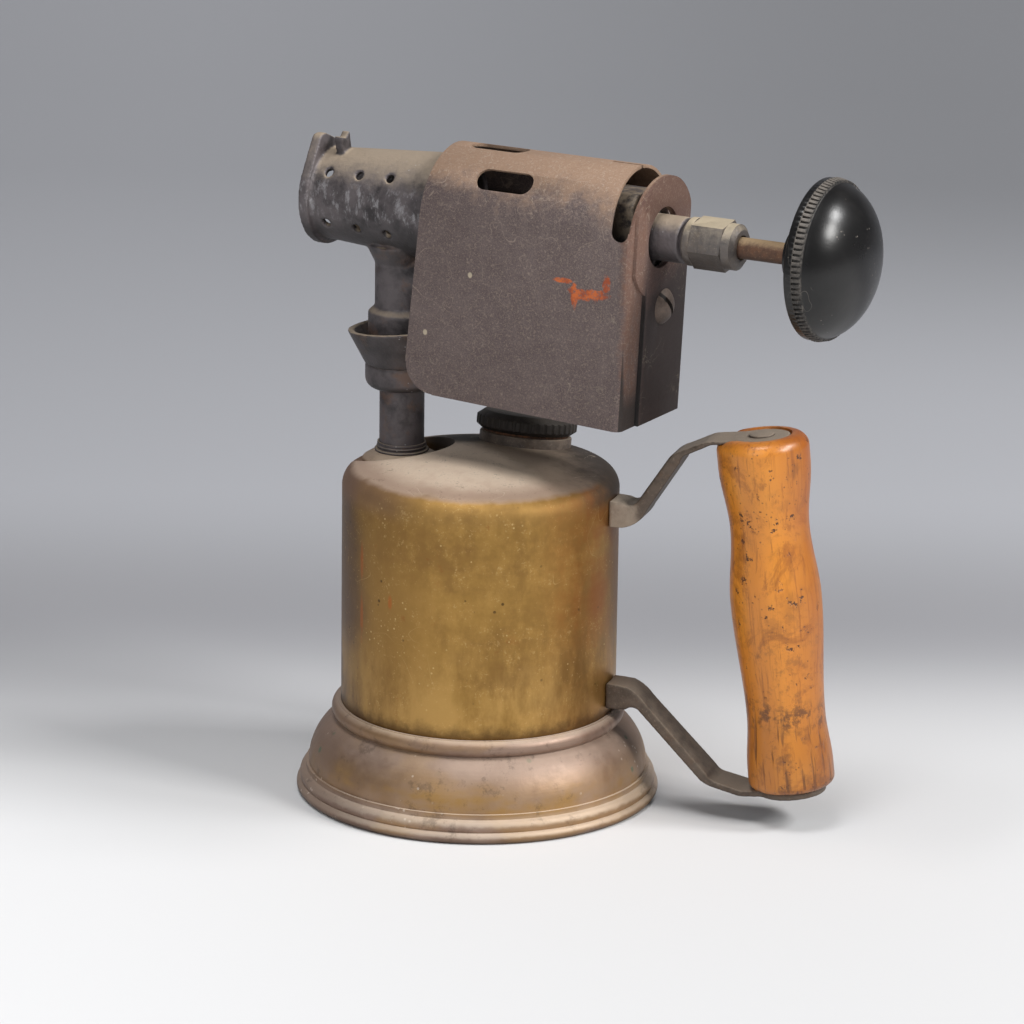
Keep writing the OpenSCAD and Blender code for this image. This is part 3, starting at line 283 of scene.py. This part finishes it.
def footBrass(look):
    f = Finish("footBrass")
    large = f.noise(40, 4, 0.6)
    fine = f.noise(260, 4, 0.65)
    rings = f.noise(1, 2, 0.5, f.moved((3, 3, 1300)))
    colour = f.mix(f.band(large, 0.36, 0.6), look["dark"], look["brown"])
    worn = f.band(f.noise(30, 3, 0.6, f.moved((1, 1, 2.4))), 0.46, 0.64)
    belt = f.between(f.z, look["beltRise"], look["beltFall"])
    colour = f.mix((worn * 0.7 + belt * 0.45) * (0.4 + fine * 0.9), colour, look["gold"])
    up = f.facing()[2]
    lip = 1 - f.band(f.z + (fine - 0.5) * 0.001, *look["lipEdge"])
    dusted = lip * f.band(up + (fine - 0.5) * 0.8, -0.1, 0.5) * 0.8
    dust = f.band(up + (fine - 0.5) * 0.5, 0.3, 1.0).most(dusted)
    bell = f.between(f.z, look["bellRise"], look["bellFall"])
    colour = f.mix(dust * (0.6 - bell * 0.3), colour, look["dust"])
    colour = f.mix(bell * 0.3, colour, look["dark"])
    # painted shade: the left side, as seen, darker
    leftSide = f.band((large - 0.5) * 0.03 - f.toward(pictureRight), *look["leftTint"])
    colour = f.mix(leftSide * 0.6, colour, look["dark"])
    colour = f.mix(f.specks(420, 0.22, 70, 0.44) * 0.8, colour, look["dust"])
    colour = f.mix(f.specks(200, 0.25, 45, 0.38) * 0.75, colour, look["green"])
    colour = f.mix(f.specks(170, 0.14, 80, 0.4), colour, look["spot"])
    blots = f.band(f.noise(110, 5, 0.75), 0.55, 0.68)
    colour = f.mix(blots * 0.4, colour, look["spot"])
    seam = 1 - f.band(f.z, *look["seamEdge"])
    colour = f.mix(seam * 0.6, colour, look["spot"])
    rough = 0.38 + fine * 0.2 + dust * 0.15
    metal = 0.5 - dust * 0.25
    normal = f.bump(rings * 0.3 + fine * 0.8 + large * 2, 0.00014, 0.7)
    return f.surface(colour, rough, metal, normal)


shieldLook = {
    "base": paint(104, 91, 89), "dark": paint(88, 75, 74), "light": paint(128, 113, 107),
    "roof": paint(150, 122, 100), "rust": paint(116, 86, 72), "orange": paint(198, 98, 40),
    "ember": paint(150, 66, 30), "speck": paint(168, 150, 134), "pale": paint(204, 190, 164),
    "slit": paint(26, 23, 23), "far": paint(36, 32, 32), "inside": paint(44, 39, 37),
    "disc": paint(84, 58, 50), "roofEdge": (0.184, 0.195), "sideEdge": (0.006, 0.012),
    "nearSide": -0.0185, "stainDepth": 0.004, "flapLean": 0.048, "flapTop": 0.194,
    "flapFrom": (0.0596, 0.0604), "knobShadowTop": (0.160, 0.174), "bendFrom": (0.0555, 0.0585),
    "innerRadius": (0.01765, 0.01785), "innerEnd": (0.057, 0.0575),
    "slitAt": -0.0087, "slitHalf": (0.0003, 0.0007), "slitFrom": (0.0585, 0.0595), "slitTop": (0.160, 0.170),
    "stains": ((0.0370, 0.1678, 0.0028, 0.0007), (0.0412, 0.1632, 0.0009, 0.0036),
        (0.0452, 0.1643, 0.0040, 0.0017), (0.0495, 0.1648, 0.0026, 0.0014),
        (0.0518, 0.1680, 0.0011, 0.0030)),  # x, z, half width and half height of each
    "spots": ((0.0060, 0.1653), (-0.0092, 0.1460)), "spotWide": 0.001, "spotTall": 0.0012,
}


def shieldSteel(look):
    f = Finish("shieldSteel")
    large = f.noise(45, 4, 0.62)
    mid = f.noise(260, 4, 0.7)
    fine = f.noise(1300, 4, 0.75, twist=0.8)
    grit = f.noise(2600, 2, 0.6)
    colour = f.mix(f.band(large * 0.4 + mid * 0.6, 0.38, 0.62), look["dark"], look["base"])
    colour = f.mix(f.band(grit, 0.35, 0.65) * 0.45, colour, look["light"])
    rear = f.band(f.x + (mid - 0.5) * 0.006, *look["bendFrom"])
    side = f.band(0 - f.y, *look["sideEdge"])
    browned = f.band(f.z + (large - 0.5) * 0.026 + (mid - 0.5) * 0.014, *look["roofEdge"])
    colour = f.mix(browned * 0.9, colour, look["roof"])
    colour = f.mix(rear * side * (0.45 + mid * 0.8), colour, look["rust"])
    leaned = f.x + (look["flapTop"] - f.z) * look["flapLean"]  # depth of the rear flaps, which lean
    plate = f.band(leaned, *look["flapFrom"]) * (1 - side * (1 - browned))
    colour = f.mix(plate * 0.85, colour, look["disc"])
    speckled = f.band(fine, 0.52, 0.66) * (0.42 + browned * 0.25) * (1 - plate * 0.6)
    colour = f.mix(speckled, colour, look["speck"])
    colour = f.mix(f.band(f.noise(900, 3, 0.8, twist=2), 0.6, 0.66) * 0.3, colour, look["dark"])
    colour = f.mix(f.threads(95, 0.004, 30, 0.5) * 0.45, colour, look["speck"])
    # painted shadow of the knob: the rear flaps darker low down
    low = 1 - f.band(f.z - f.y * 0.5 + (mid - 0.5) * 0.012, *look["knobShadowTop"])
    colour = f.mix(plate * low * 0.82, colour, look["far"])
    colour = f.mix(f.threads(260, 0.012, 50, 0.46) * 0.12, colour, look["pale"])
    over = (f.z - valveHeight).most(0)
    within = 1 - f.band((f.y * f.y + over * over) ** 0.5, *look["innerRadius"])
    within = within * (1 - f.band(f.x, *look["innerEnd"]))
    colour = f.mix(within * 0.9, colour, look["inside"])
    spotSize = (look["spotWide"], look["stainDepth"], look["spotTall"])
    for x, z in look["spots"]:
        spot = 1 - f.band(f.near((x, look["nearSide"], z), spotSize), 0.5, 0.9)
        colour = f.mix(spot * 0.75, colour, look["pale"])
    torn = (f.noise(420, 5, 0.75) - 0.5) * 1.9 + (f.noise(140, 3) - 0.5) * 1.6
    stains = [f.near((x, look["nearSide"], z), (wide, look["stainDepth"], tall))
        for x, z, wide, tall in look["stains"]]
    nearest = stains[0]
    for stain in stains[1:]:
        nearest = nearest.least(stain)
    patch = 1 - f.band(nearest + torn, 0.75, 1.25)
    patch = (patch * (0.25 + f.band(f.noise(700, 4, 0.8), 0.36, 0.56))).least(1)
    colour = f.mix(patch * 0.95, colour, f.mix(f.band(mid, 0.4, 0.6), look["ember"], look["orange"]))
    # painted shade along the other flap's sheet edge
    slit = (1 - f.band(f.y.off(look["slitAt"]), *look["slitHalf"])) * f.band(leaned, *look["slitFrom"])
    colour = f.mix(slit * (1 - f.band(f.z, *look["slitTop"])) * 0.9, colour, look["slit"])
    rough = 0.55 + mid * 0.2 + fine * 0.1
    metal = 0.2 - patch * 0.2
    normal = f.bump(grit * 0.3 + fine * 0.5 + mid * 0.5 + large * 3, 0.0002, 0.8)
    return f.surface(colour, rough, metal, normal)


ironLook = {
    "base": paint(98, 91, 92), "dark": paint(50, 46, 47), "dust": paint(152, 136, 116),
    "chalk": paint(170, 168, 170), "rust": paint(112, 84, 66), "sootAndShade": paint(40, 37, 37),
    "shieldFront": (0.0, 0.006), "shieldRear": (0.0575, 0.0585), "litFrom": (0.042, 0.046),
    "chalkRise": (0.173, 0.179), "chalkFall": (0.184, 0.189), "chalkEnd": (0.0, 0.01),
    "rustTop": (0.16, 0.176), "litHeight": (0.176, 0.186),
}


def burnerIron(look):
    f = Finish("burnerIron")
    large = f.noise(60, 4, 0.6)
    mid = f.noise(260, 4, 0.65)
    fine = f.noise(1400, 2, 0.6)
    colour = f.mix(f.band(large * 0.7 + mid * 0.3, 0.36, 0.58), look["dark"], look["base"])
    rusty = f.band(f.noise(90, 4, 0.7), 0.52, 0.68) * (1 - f.band(f.z, *look["rustTop"]))
    colour = f.mix(rusty * 0.6, colour, look["rust"])
    up = f.facing()[2]
    dust = f.band(up + (mid - 0.5) * 0.5, 0.35, 0.95)
    # soot and painted shade on the undersides
    colour = f.mix(f.band((mid - 0.5) * 0.4 - up, 0.1, 0.75) * 0.75, colour, look["sootAndShade"])
    within = f.between(f.x, look["shieldFront"], look["shieldRear"])
    colour = f.mix(dust * (1 - within) * 0.8, colour, look["dust"])
    chalk = f.band(f.noise(1, 5, 0.8, f.moved((420, 420, 170))), 0.5, 0.66)
    belt = f.between(f.z, look["chalkRise"], look["chalkFall"]) * (1 - f.band(f.x, *look["chalkEnd"]))
    colour = f.mix(chalk * belt * 0.55, colour, look["chalk"])
    # soot and painted shade under the shield; where the casting shows through the rear window, dust and
    # painted light
    lit = f.band(f.x, *look["litFrom"]) * f.band(f.z, *look["litHeight"])
    colour = f.mix(within * (1 - lit) * 0.75, colour, look["sootAndShade"])
    colour = f.mix(within * lit * f.band(mid, 0.35, 0.6) * 0.8, colour, look["dust"])
    colour = f.mix(f.specks(700, 0.2, 120, 0.42) * 0.6, colour, look["chalk"])
    rough = 0.42 + mid * 0.22 + dust * 0.2
    normal = f.bump(fine * 0.35 + mid + large * 2.4, 0.0003, 0.85)
    return f.surface(colour, rough, 0.3 - dust * 0.25, normal)


knobLook = {
    "black": paint(15, 14, 14), "dust": paint(132, 124, 116), "faded": paint(32, 30, 29),
    "rimRise": (0.1134, 0.1138), "rimFall": (0.1164, 0.1168), "ribTops": (0.0231, 0.0236),
    "wornHeight": (0.168, 0.198),
}


def knobBlack(look):
    f = Finish("knobBlack")
    large = f.noise(70, 4, 0.6)
    fine = f.noise(900, 4, 0.7)
    colour = f.mix(f.band(large, 0.45, 0.7) * 0.6, look["black"], look["faded"])
    colour = f.mix(f.specks(700, 0.22, 130, 0.4) * 0.55, colour, look["dust"])
    rim = f.between(f.x, look["rimRise"], look["rimFall"])
    colour = f.mix(rim * f.band(fine, 0.35, 0.7) * 0.3, colour, look["dust"])
    over = f.z - valveHeight
    worn = rim * f.band((f.y * f.y + over * over) ** 0.5, *look["ribTops"])
    colour = f.mix(worn * f.band(f.z, *look["wornHeight"]) * 0.5, colour, look["dust"])
    colour = f.mix(f.threads(90, 0.005, 60, 0.4) * 0.3, colour, look["dust"])
    rough = 0.22 + large * 0.1 + fine * 0.05 + rim * 0.28
    normal = f.bump(fine * 0.3 + large * 2, 0.0001, 0.4)
    return f.surface(colour, rough, 0.0, normal, Specular_IOR_Level=0.45)


woodLook = {
    "honey": paint(202, 125, 36), "amber": paint(184, 104, 28), "brown": paint(122, 62, 22),
    "dark": paint(56, 30, 18), "worn": paint(210, 140, 54), "pale": paint(228, 148, 56),
    "dirt": paint(108, 66, 34),
    "turn": 12, "lean": 6.6, "foot": (0.0997, 0, 0.0119),  # degrees round the tank and off plumb, low end
    "topEnd": (0.1062, 0.1084), "footEnd": (0.0003, 0.0026), "splitEnd": (0.012, 0.036),
    "ringAt": 0.0245, "ringHalf": (0.001, 0.007), "cleanFrom": (0.03, 0.06),
    "paintedLightSide": (0.001, 0.012), "paintedShadeSide": (0.003, 0.013), "scorchedSide": (-0.002, 0.01),
}


def gripWood(look):
    f = Finish("gripWood")
    tilt = Matrix.Rotation(math.radians(look["lean"]), 3, "Y")
    upright = tilt @ Matrix.Rotation(math.radians(-look["turn"]), 3, "Z")
    f.place = f.moved((1, 1, 1), upright.to_euler("XYZ"), -(tilt @ Vector(look["foot"])))
    x, y, z = f.split(f.place)

    def along(scale, stretch, detail=4):  # noise drawn out along the grain
        return f.noise(1, detail, 0.62, f.moved((scale, scale, scale / stretch)))

    figure = along(120, 11)
    grain = along(900, 26)
    pores = along(1800, 18, 2)
    large = f.noise(36, 3, 0.55)
    colour = f.mix(f.band(figure * 0.7 + large * 0.3, 0.4, 0.62), look["amber"], look["honey"])
    colour = f.mix(f.band(large, 0.5, 0.68) * 0.45, colour, look["worn"])
    # painted light on the side towards the camera's left, painted shade on the side towards the right
    colour = f.mix(f.band(0 - y, *look["paintedLightSide"]) * 0.55, colour, look["pale"])
    colour = f.mix(f.band(x, *look["paintedShadeSide"]) * 0.5, colour, look["brown"])
    colour = f.mix(f.band(grain, 0.52, 0.72) * 0.5, colour, look["brown"])
    colour = f.mix(f.band(pores, 0.66, 0.74) * 0.5, colour, look["brown"])
    lowEnd = 1 - f.band(z + (figure - 0.5) * 0.02, *look["splitEnd"])
    cracks = f.band(along(340, 20, 3), 0.54, 0.62)
    colour = f.mix(lowEnd * (0.25 + cracks * 0.5), colour, look["dark"])
    ring = 1 - f.band((z + (figure - 0.5) * 0.012).off(look["ringAt"]), *look["ringHalf"])
    colour = f.mix(ring * f.band(f.noise(260, 4, 0.7), 0.45, 0.6) * 0.7, colour, look["dark"])
    nicks = f.band(f.noise(240, 4, 0.75), 0.61, 0.66) * f.band(f.noise(60, 2), 0.42, 0.56)
    colour = f.mix(nicks * 0.9, colour, look["dark"])
    colour = f.mix(f.specks(560, 0.2, 60, 0.5) * 0.6, colour, look["dark"])
    smudges = f.band(f.noise(70, 6, 0.75, twist=0.5), 0.5, 0.64)
    colour = f.mix(smudges * 0.5, colour, look["brown"])
    handled = f.band(f.noise(130, 5, 0.75), 0.52, 0.66) * (1 - f.band(z, *look["cleanFrom"]) * 0.6)
    colour = f.mix(handled * 0.55, colour, look["dirt"])
    scorched = f.band(f.noise(55, 5, 0.7, f.moved((1, 1, 0.6), shift=(0.3, 0, 0))), 0.55, 0.7)
    colour = f.mix(scorched * f.band(x + y * 0.3, *look["scorchedSide"]) * 0.55, colour, look["dark"])
    ends = f.band(z, *look["topEnd"]) + (1 - f.band(z, *look["footEnd"]))
    colour = f.mix(ends * 0.35, colour, look["brown"])
    rough = 0.3 + grain * 0.14 + nicks * 0.2
    normal = f.bump(grain * 0.3 + figure * 0.8 - nicks * 1.2 - lowEnd * cracks * 1.6, 0.00025, 0.6)
    return f.surface(colour, rough, 0.0, normal, Coat_Weight=0.14, Coat_Roughness=0.25)


metalLooks = {
    "bracket_steel": {"name": "bracketSteel", "base": paint(108, 95, 84), "dark": paint(80, 69, 60),
        "rust": paint(112, 86, 66), "dust": paint(158, 143, 126), "rough": 0.42, "metal": 0.45, "dusty": 0.6,
        "size": 120, "spot": {"at": (0.044, 0.006, 0.093), "reach": 0.009, "tint": paint(196, 179, 160)}},
    "nut_brass": {"name": "nutBrass", "base": paint(118, 110, 104), "dark": paint(92, 87, 85),
        "rust": paint(112, 96, 80), "dust": paint(172, 158, 134), "rough": 0.36, "metal": 0.5, "dusty": 0.9,
        "size": 120},
    "spindle_steel": {"name": "spindleSteel", "base": paint(112, 80, 60), "dark": paint(80, 58, 48),
        "rust": paint(136, 92, 62), "dust": paint(172, 148, 112), "rough": 0.5, "metal": 0.35, "dusty": 0.7,
        "size": 240},
    "screw_steel": {"name": "screwSteel", "base": paint(110, 95, 85), "dark": paint(82, 70, 63),
        "rust": paint(100, 78, 64), "dust": paint(140, 124, 112), "rough": 0.4, "metal": 0.4, "dusty": 0.5,
        "size": 240, "cut": {"y": 0.003, "z": 0.1585, "turn": math.radians(35), "wide": 0.0013,
            "tint": paint(22, 20, 20)}},
    "filler_brass": {"name": "fillerBrass", "base": paint(116, 102, 90), "dark": paint(76, 66, 59),
        "rust": paint(100, 80, 64), "dust": paint(164, 148, 130), "rough": 0.5, "metal": 0.3, "dusty": 0.5,
        "size": 160, "above": {"axis": jointOf["cap_turn"]["axis"], "from": (0.1097, 0.1101),
            "tint": paint(26, 23, 21)}},
    "jet_brass": {"name": "jetBrass", "base": paint(150, 118, 62), "dark": paint(104, 78, 40),
        "rust": paint(120, 84, 46), "dust": paint(158, 142, 116), "rough": 0.36, "metal": 0.8, "dusty": 0.3,
        "size": 240},
}
metalShade = paint(40, 35, 32)  # undersides of all of them


def wornMetal(look):
    f = Finish(look["name"])
    size = look["size"]
    large = f.noise(size * 0.5, 4, 0.6)
    mid = f.noise(size * 2.5, 5, 0.7)
    fine = f.noise(1300, 4, 0.75)
    colour = f.mix(f.band(large * 0.4 + mid * 0.6, 0.32, 0.66), look["dark"], look["base"])
    colour = f.mix(f.band(f.noise(size * 1.7, 5, 0.75), 0.48, 0.72) * 0.4, colour, look["rust"])
    colour = f.mix(f.band(fine, 0.56, 0.7) * 0.4, colour, look["dust"])
    up = f.facing()[2]
    film = f.band(up + (mid - 0.5) * 0.7, 0.3, 1.0) * look["dusty"]
    colour = f.mix(f.band((mid - 0.5) * 0.4 - up, 0.1, 0.8) * 0.6, colour, metalShade)
    colour = f.mix(film, colour, look["dust"])
    if "spot" in look:  # pale lump of dust
        place, reach = look["spot"]["at"], look["spot"]["reach"]
        spot = 1 - f.band(f.near(place, (reach, reach, reach)) + (mid - 0.5) * 0.8, 0.6, 1.0)
        colour = f.mix(spot * (0.2 + mid * 0.7), colour, look["spot"]["tint"])
    if "above" in look:  # soot and painted shadow beyond a plane, on the cap under the shield
        above = look["above"]
        along = f.toward(above["axis"]) + f.z * above["axis"][2]
        colour = f.mix(f.band(along, *above["from"]) * 0.85, colour, above["tint"])
    if "cut" in look:  # painted shade in the driver slot
        cut = look["cut"]
        gap = ((f.y - cut["y"]) * math.cos(cut["turn"]) + (f.z - cut["z"]) * math.sin(cut["turn"])).off(0)
        slot = 1 - f.band(gap, cut["wide"] * 0.4, cut["wide"] * 0.55)
        colour = f.mix(slot * 0.9, colour, cut["tint"])
    normal = f.bump(fine * 0.5 + mid + large * 2, 0.0002, 0.8)
    rough = look["rough"] + mid * 0.2 + film * 0.15
    return f.surface(colour, rough, look["metal"] - film * look["metal"], normal)


fibreLooks = {
    "wick_cotton": {"name": "wickCotton", "base": paint(208, 194, 168), "dark": paint(150, 132, 104),
        "scale": 900},
    "packing_fibre": {"name": "packingFibre", "base": paint(66, 62, 56), "dark": paint(34, 32, 30),
        "scale": 1500},
    "washer_leather": {"name": "washerLeather", "base": paint(96, 62, 38), "dark": paint(58, 36, 24),
        "scale": 1100},
}


def fibre(look):
    f = Finish(look["name"])
    scale = look["scale"]
    strands = f.noise(1, 3, 0.6, f.moved((scale, scale, scale / 9), (0.4, 0.3, 0)))
    colour = f.mix(f.band(strands, 0.35, 0.65), look["dark"], look["base"])
    return f.surface(colour, 0.75 + strands * 0.2, 0.0, f.bump(strands, 0.0004, 0.9))


looks = {
    "tank_brass": tankBrass(tankLook),
    "foot_brass": footBrass(footLook),
    "burner_iron": burnerIron(ironLook),
    "shield_steel": shieldSteel(shieldLook),
    "knob_plastic": knobBlack(knobLook),
    "grip_wood": gripWood(woodLook),
}
looks.update({slot: wornMetal(look) for slot, look in metalLooks.items()})
looks.update({slot: fibre(look) for slot, look in fibreLooks.items()})
slotOf = {part["node"]: part["material_slot"] for part in frame["record"]["subparts"]}
print("finishes made:", len(looks))

# worked copies of the CAD pieces: merged, edges broken, shaded smooth
edges = {  # width of each broken edge in millimetres
    "tank_shell": 0.6, "foot_skirt": 0.25, "riser_boss": 0.4, "riser_collar": 0.12, "riser_tube": 0.3,
    "burner_casting": 0.7, "priming_cup": 0.45, "windshield": 0.22, "shield_screw": 0.2, "gland_nut": 0.3,
    "valve_spindle": 0.15, "control_knob": 0.12, "filler_neck": 0.4, "filler_washer": 0.15,
    "filler_cap": 0.25, "upper_bracket": 0.3, "lower_bracket": 0.3, "handle_grip": 0.3, "handle_rod": 0.3,
}
rounded = {  # voxel in millimetres, rounds of smoothing, share of the triangles kept
    "upper_bracket": {"voxel": 0.3, "rounds": 14}, "lower_bracket": {"voxel": 0.3, "rounds": 22},
    "burner_casting": {"voxel": 0.48, "rounds": 5, "keep": 0.55}, "priming_cup": {"voxel": 0.35, "rounds": 8},
}
working = {"merge": 2e-6, "flat": math.radians(0.4), "sharp": math.radians(32), "smooth": math.radians(34),
    "segments": 2, "ease": 0.5, "inset": 0.00001}


def worked(name, edge):
    source = nodes[name]
    body = source["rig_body"]
    bpy.ops.object.select_all(action="DESELECT")
    source.select_set(True)
    bpy.context.view_layer.objects.active = source
    bpy.ops.object.duplicate()
    piece = bpy.context.active_object
    piece.name = name + "_worked"
    piece.data.name = piece.name
    del piece["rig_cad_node"]
    bpy.ops.object.mode_set(mode="EDIT")
    bpy.ops.mesh.select_all(action="SELECT")
    bpy.ops.mesh.customdata_custom_splitnormals_clear()
    bpy.ops.mesh.remove_doubles(threshold=working["merge"])
    bpy.ops.mesh.dissolve_limited(angle_limit=working["flat"])
    bpy.ops.object.mode_set(mode="OBJECT")
    broken = piece.modifiers.new("edge", "BEVEL")
    broken.width = edge / 1000
    broken.segments = working["segments"]
    broken.limit_method = "ANGLE"
    broken.angle_limit = working["sharp"]
    broken.use_clamp_overlap = True
    bpy.ops.object.modifier_apply(modifier="edge")
    bpy.ops.object.shade_smooth_by_angle(angle=working["smooth"])
    if name in rounded:  # remeshed, then eased all over
        remesh = piece.modifiers.new("remesh", "REMESH")
        remesh.mode = "VOXEL"
        remesh.voxel_size = rounded[name]["voxel"] / 1000
        bpy.ops.object.modifier_apply(modifier="remesh")
        rounding = piece.modifiers.new("rounding", "SMOOTH")
        rounding.factor = working["ease"]
        rounding.iterations = rounded[name]["rounds"]
        bpy.ops.object.modifier_apply(modifier="rounding")
        if "keep" in rounded[name]:  # fewer triangles
            thinned = piece.modifiers.new("thinned", "DECIMATE")
            thinned.ratio = rounded[name]["keep"]
            bpy.ops.object.modifier_apply(modifier="thinned")
        inset = piece.modifiers.new("inset", "DISPLACE")
        inset.strength = -working["inset"]  # keeps it inside the CAD box
        inset.mid_level = 0
        bpy.ops.object.modifier_apply(modifier="inset")
        bpy.ops.object.shade_smooth()
    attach(piece, body)
    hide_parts(name)
    return piece


pieces = {name: worked(name, edge) for name, edge in edges.items()}
for name, node in nodes.items():
    for thing in (node, pieces.get(name)):
        if thing:
            thing.data.materials.clear()
            thing.data.materials.append(looks[slotOf[name]])
print("pieces worked:", len(pieces))

# floor with a sweep up behind, light from the right, soft light from the front
stage = {
    "width": 8, "front": 3, "back": 0.9, "bend": 0.9, "height": 3, "steps": 10, "slack": 0.001, "merge": 1e-5,
    "colour": paint(230, 230, 231), "dusk": paint(146, 146, 150), "behind": paint(168, 169, 174),
    "right": paint(190, 190, 191), "corner": paint(140, 141, 145),
    "fade": (-0.05, 0.18), "rise": (0.18, 0.34),  # depths at which the tones change
    "rightFrom": (-0.3, 0.15), "rightTo": (0, 0.15), "cornerFrom": (-0.2, 0.25), "cornerDepth": (0.45, 0.9),
}
bpy.ops.object.select_all(action="DESELECT")
bpy.ops.mesh.primitive_plane_add(size=1, location=(0, (stage["back"] - stage["front"]) / 2, 0))
floor = bpy.context.active_object
floor.name = "floor"
floor.scale = (stage["width"], stage["front"] + stage["back"], 1)
bpy.ops.object.transform_apply(location=True, rotation=False, scale=True)
bpy.ops.object.mode_set(mode="EDIT")
bpy.ops.mesh.select_mode(type="EDGE")
bpy.ops.mesh.select_all(action="DESELECT")
bpy.ops.object.mode_set(mode="OBJECT")
for edge in floor.data.edges:
    edge.select = all(floor.data.vertices[v].co.y > stage["back"] - stage["slack"] for v in edge.vertices)
bpy.ops.object.mode_set(mode="EDIT")
bpy.ops.mesh.spin(steps=stage["steps"], angle=math.radians(-90), axis=(1, 0, 0),
    center=(0, stage["back"], stage["bend"]))
bpy.ops.mesh.extrude_region_move(TRANSFORM_OT_translate={"value": (0, 0, stage["height"])})
bpy.ops.mesh.select_all(action="SELECT")
bpy.ops.transform.rotate(value=-pictureTurn, orient_axis="Z", center_override=(0, 0, 0))
bpy.ops.mesh.remove_doubles(threshold=stage["merge"])
bpy.ops.object.mode_set(mode="OBJECT")
bpy.ops.object.shade_smooth()
paper = Finish("paperSweep")
depth = paper.toward(pictureBack)
# painted shade on the paper: darker going back, at the near right and in the back right corner
tone = paper.mix(paper.band(depth, *stage["fade"]), stage["colour"], stage["dusk"])
tone = paper.mix(paper.band(depth, *stage["rise"]), tone, stage["behind"])
across = paper.toward(pictureRight)
nearRight = paper.band(across, *stage["rightFrom"]) * (1 - paper.band(depth, *stage["rightTo"]))
tone = paper.mix(nearRight * 0.7, tone, stage["right"])
farRight = paper.band(across, *stage["cornerFrom"]) * paper.band(depth, *stage["cornerDepth"])
tone = paper.mix(farRight * 0.9, tone, stage["corner"])
floor.data.materials.append(paper.surface(tone, 0.9, 0.0, paper.bump(paper.noise(3, 3), 0.0001, 0.1)))

lamps = {
    "sideLamp": {"from": (0.85, -0.03, 0.53), "away": 1.7, "size": 0.42, "watts": 17,
        "colour": (1, 0.99, 0.97)},
    "topLamp": {"from": (0.0, -0.25, 0.97), "away": 1.7, "size": 0.6, "watts": 15, "colour": (1, 1, 1)},
    "glintLamp": {"from": (0.69, 0.24, 0.68), "away": 1.7, "size": 0.36, "watts": 14, "colour": (1, 1, 1)},
    "frontLamp": {"from": (0.1, -0.88, 0.46), "away": 2.2, "size": 1.3, "watts": 10,
        "colour": (0.98, 0.99, 1)},
}
aim = Vector((0.02, 0, 0.11))  # all lamps point here
for name, lamp in lamps.items():
    light = bpy.data.lights.new(name, "AREA")
    light.size = lamp["size"]
    light.energy = lamp["watts"]
    light.color = lamp["colour"]
    holder = bpy.data.objects.new(name, light)
    bpy.context.scene.collection.objects.link(holder)
    holder.location = aim + Vector(lamp["from"]).normalized() * lamp["away"]
    holder.rotation_euler = (aim - holder.location).to_track_quat("-Z", "Y").to_euler()

air = {"colour": (0.86, 0.88, 0.92, 1), "strength": 0.2}
world = bpy.data.worlds.new("studio")
bpy.context.scene.world = world
world.use_nodes = True
background = world.node_tree.nodes["Background"]
background.inputs["Color"].default_value = air["colour"]
background.inputs["Strength"].default_value = air["strength"]
print("stage and lamps set")

# camera at the photograph's angle
shot = {"elevation": math.radians(15.91), "roll": math.radians(0.81), "target": (0.00829, 0.00468, 0.08741),
    "away": 1.5048, "lens": 174.6, "sensor": 36, "clipStart": 0.05}
back = Vector((math.sin(pictureTurn) * math.cos(shot["elevation"]),
    -math.cos(pictureTurn) * math.cos(shot["elevation"]), math.sin(shot["elevation"])))
lens = bpy.data.cameras.new("shot")
lens.lens = shot["lens"]
lens.sensor_width = shot["sensor"]
lens.clip_start = shot["clipStart"]
camera = bpy.data.objects.new("shot", lens)
bpy.context.scene.collection.objects.link(camera)
camera.location = Vector(shot["target"]) + back * shot["away"]
camera.rotation_mode = "QUATERNION"
camera.rotation_quaternion = (-back).to_track_quat("-Z", "Y") @ Quaternion((0, 0, 1), shot["roll"])
bpy.context.scene.camera = camera
bpy.context.scene.view_settings.view_transform = "Standard"
print("camera set")
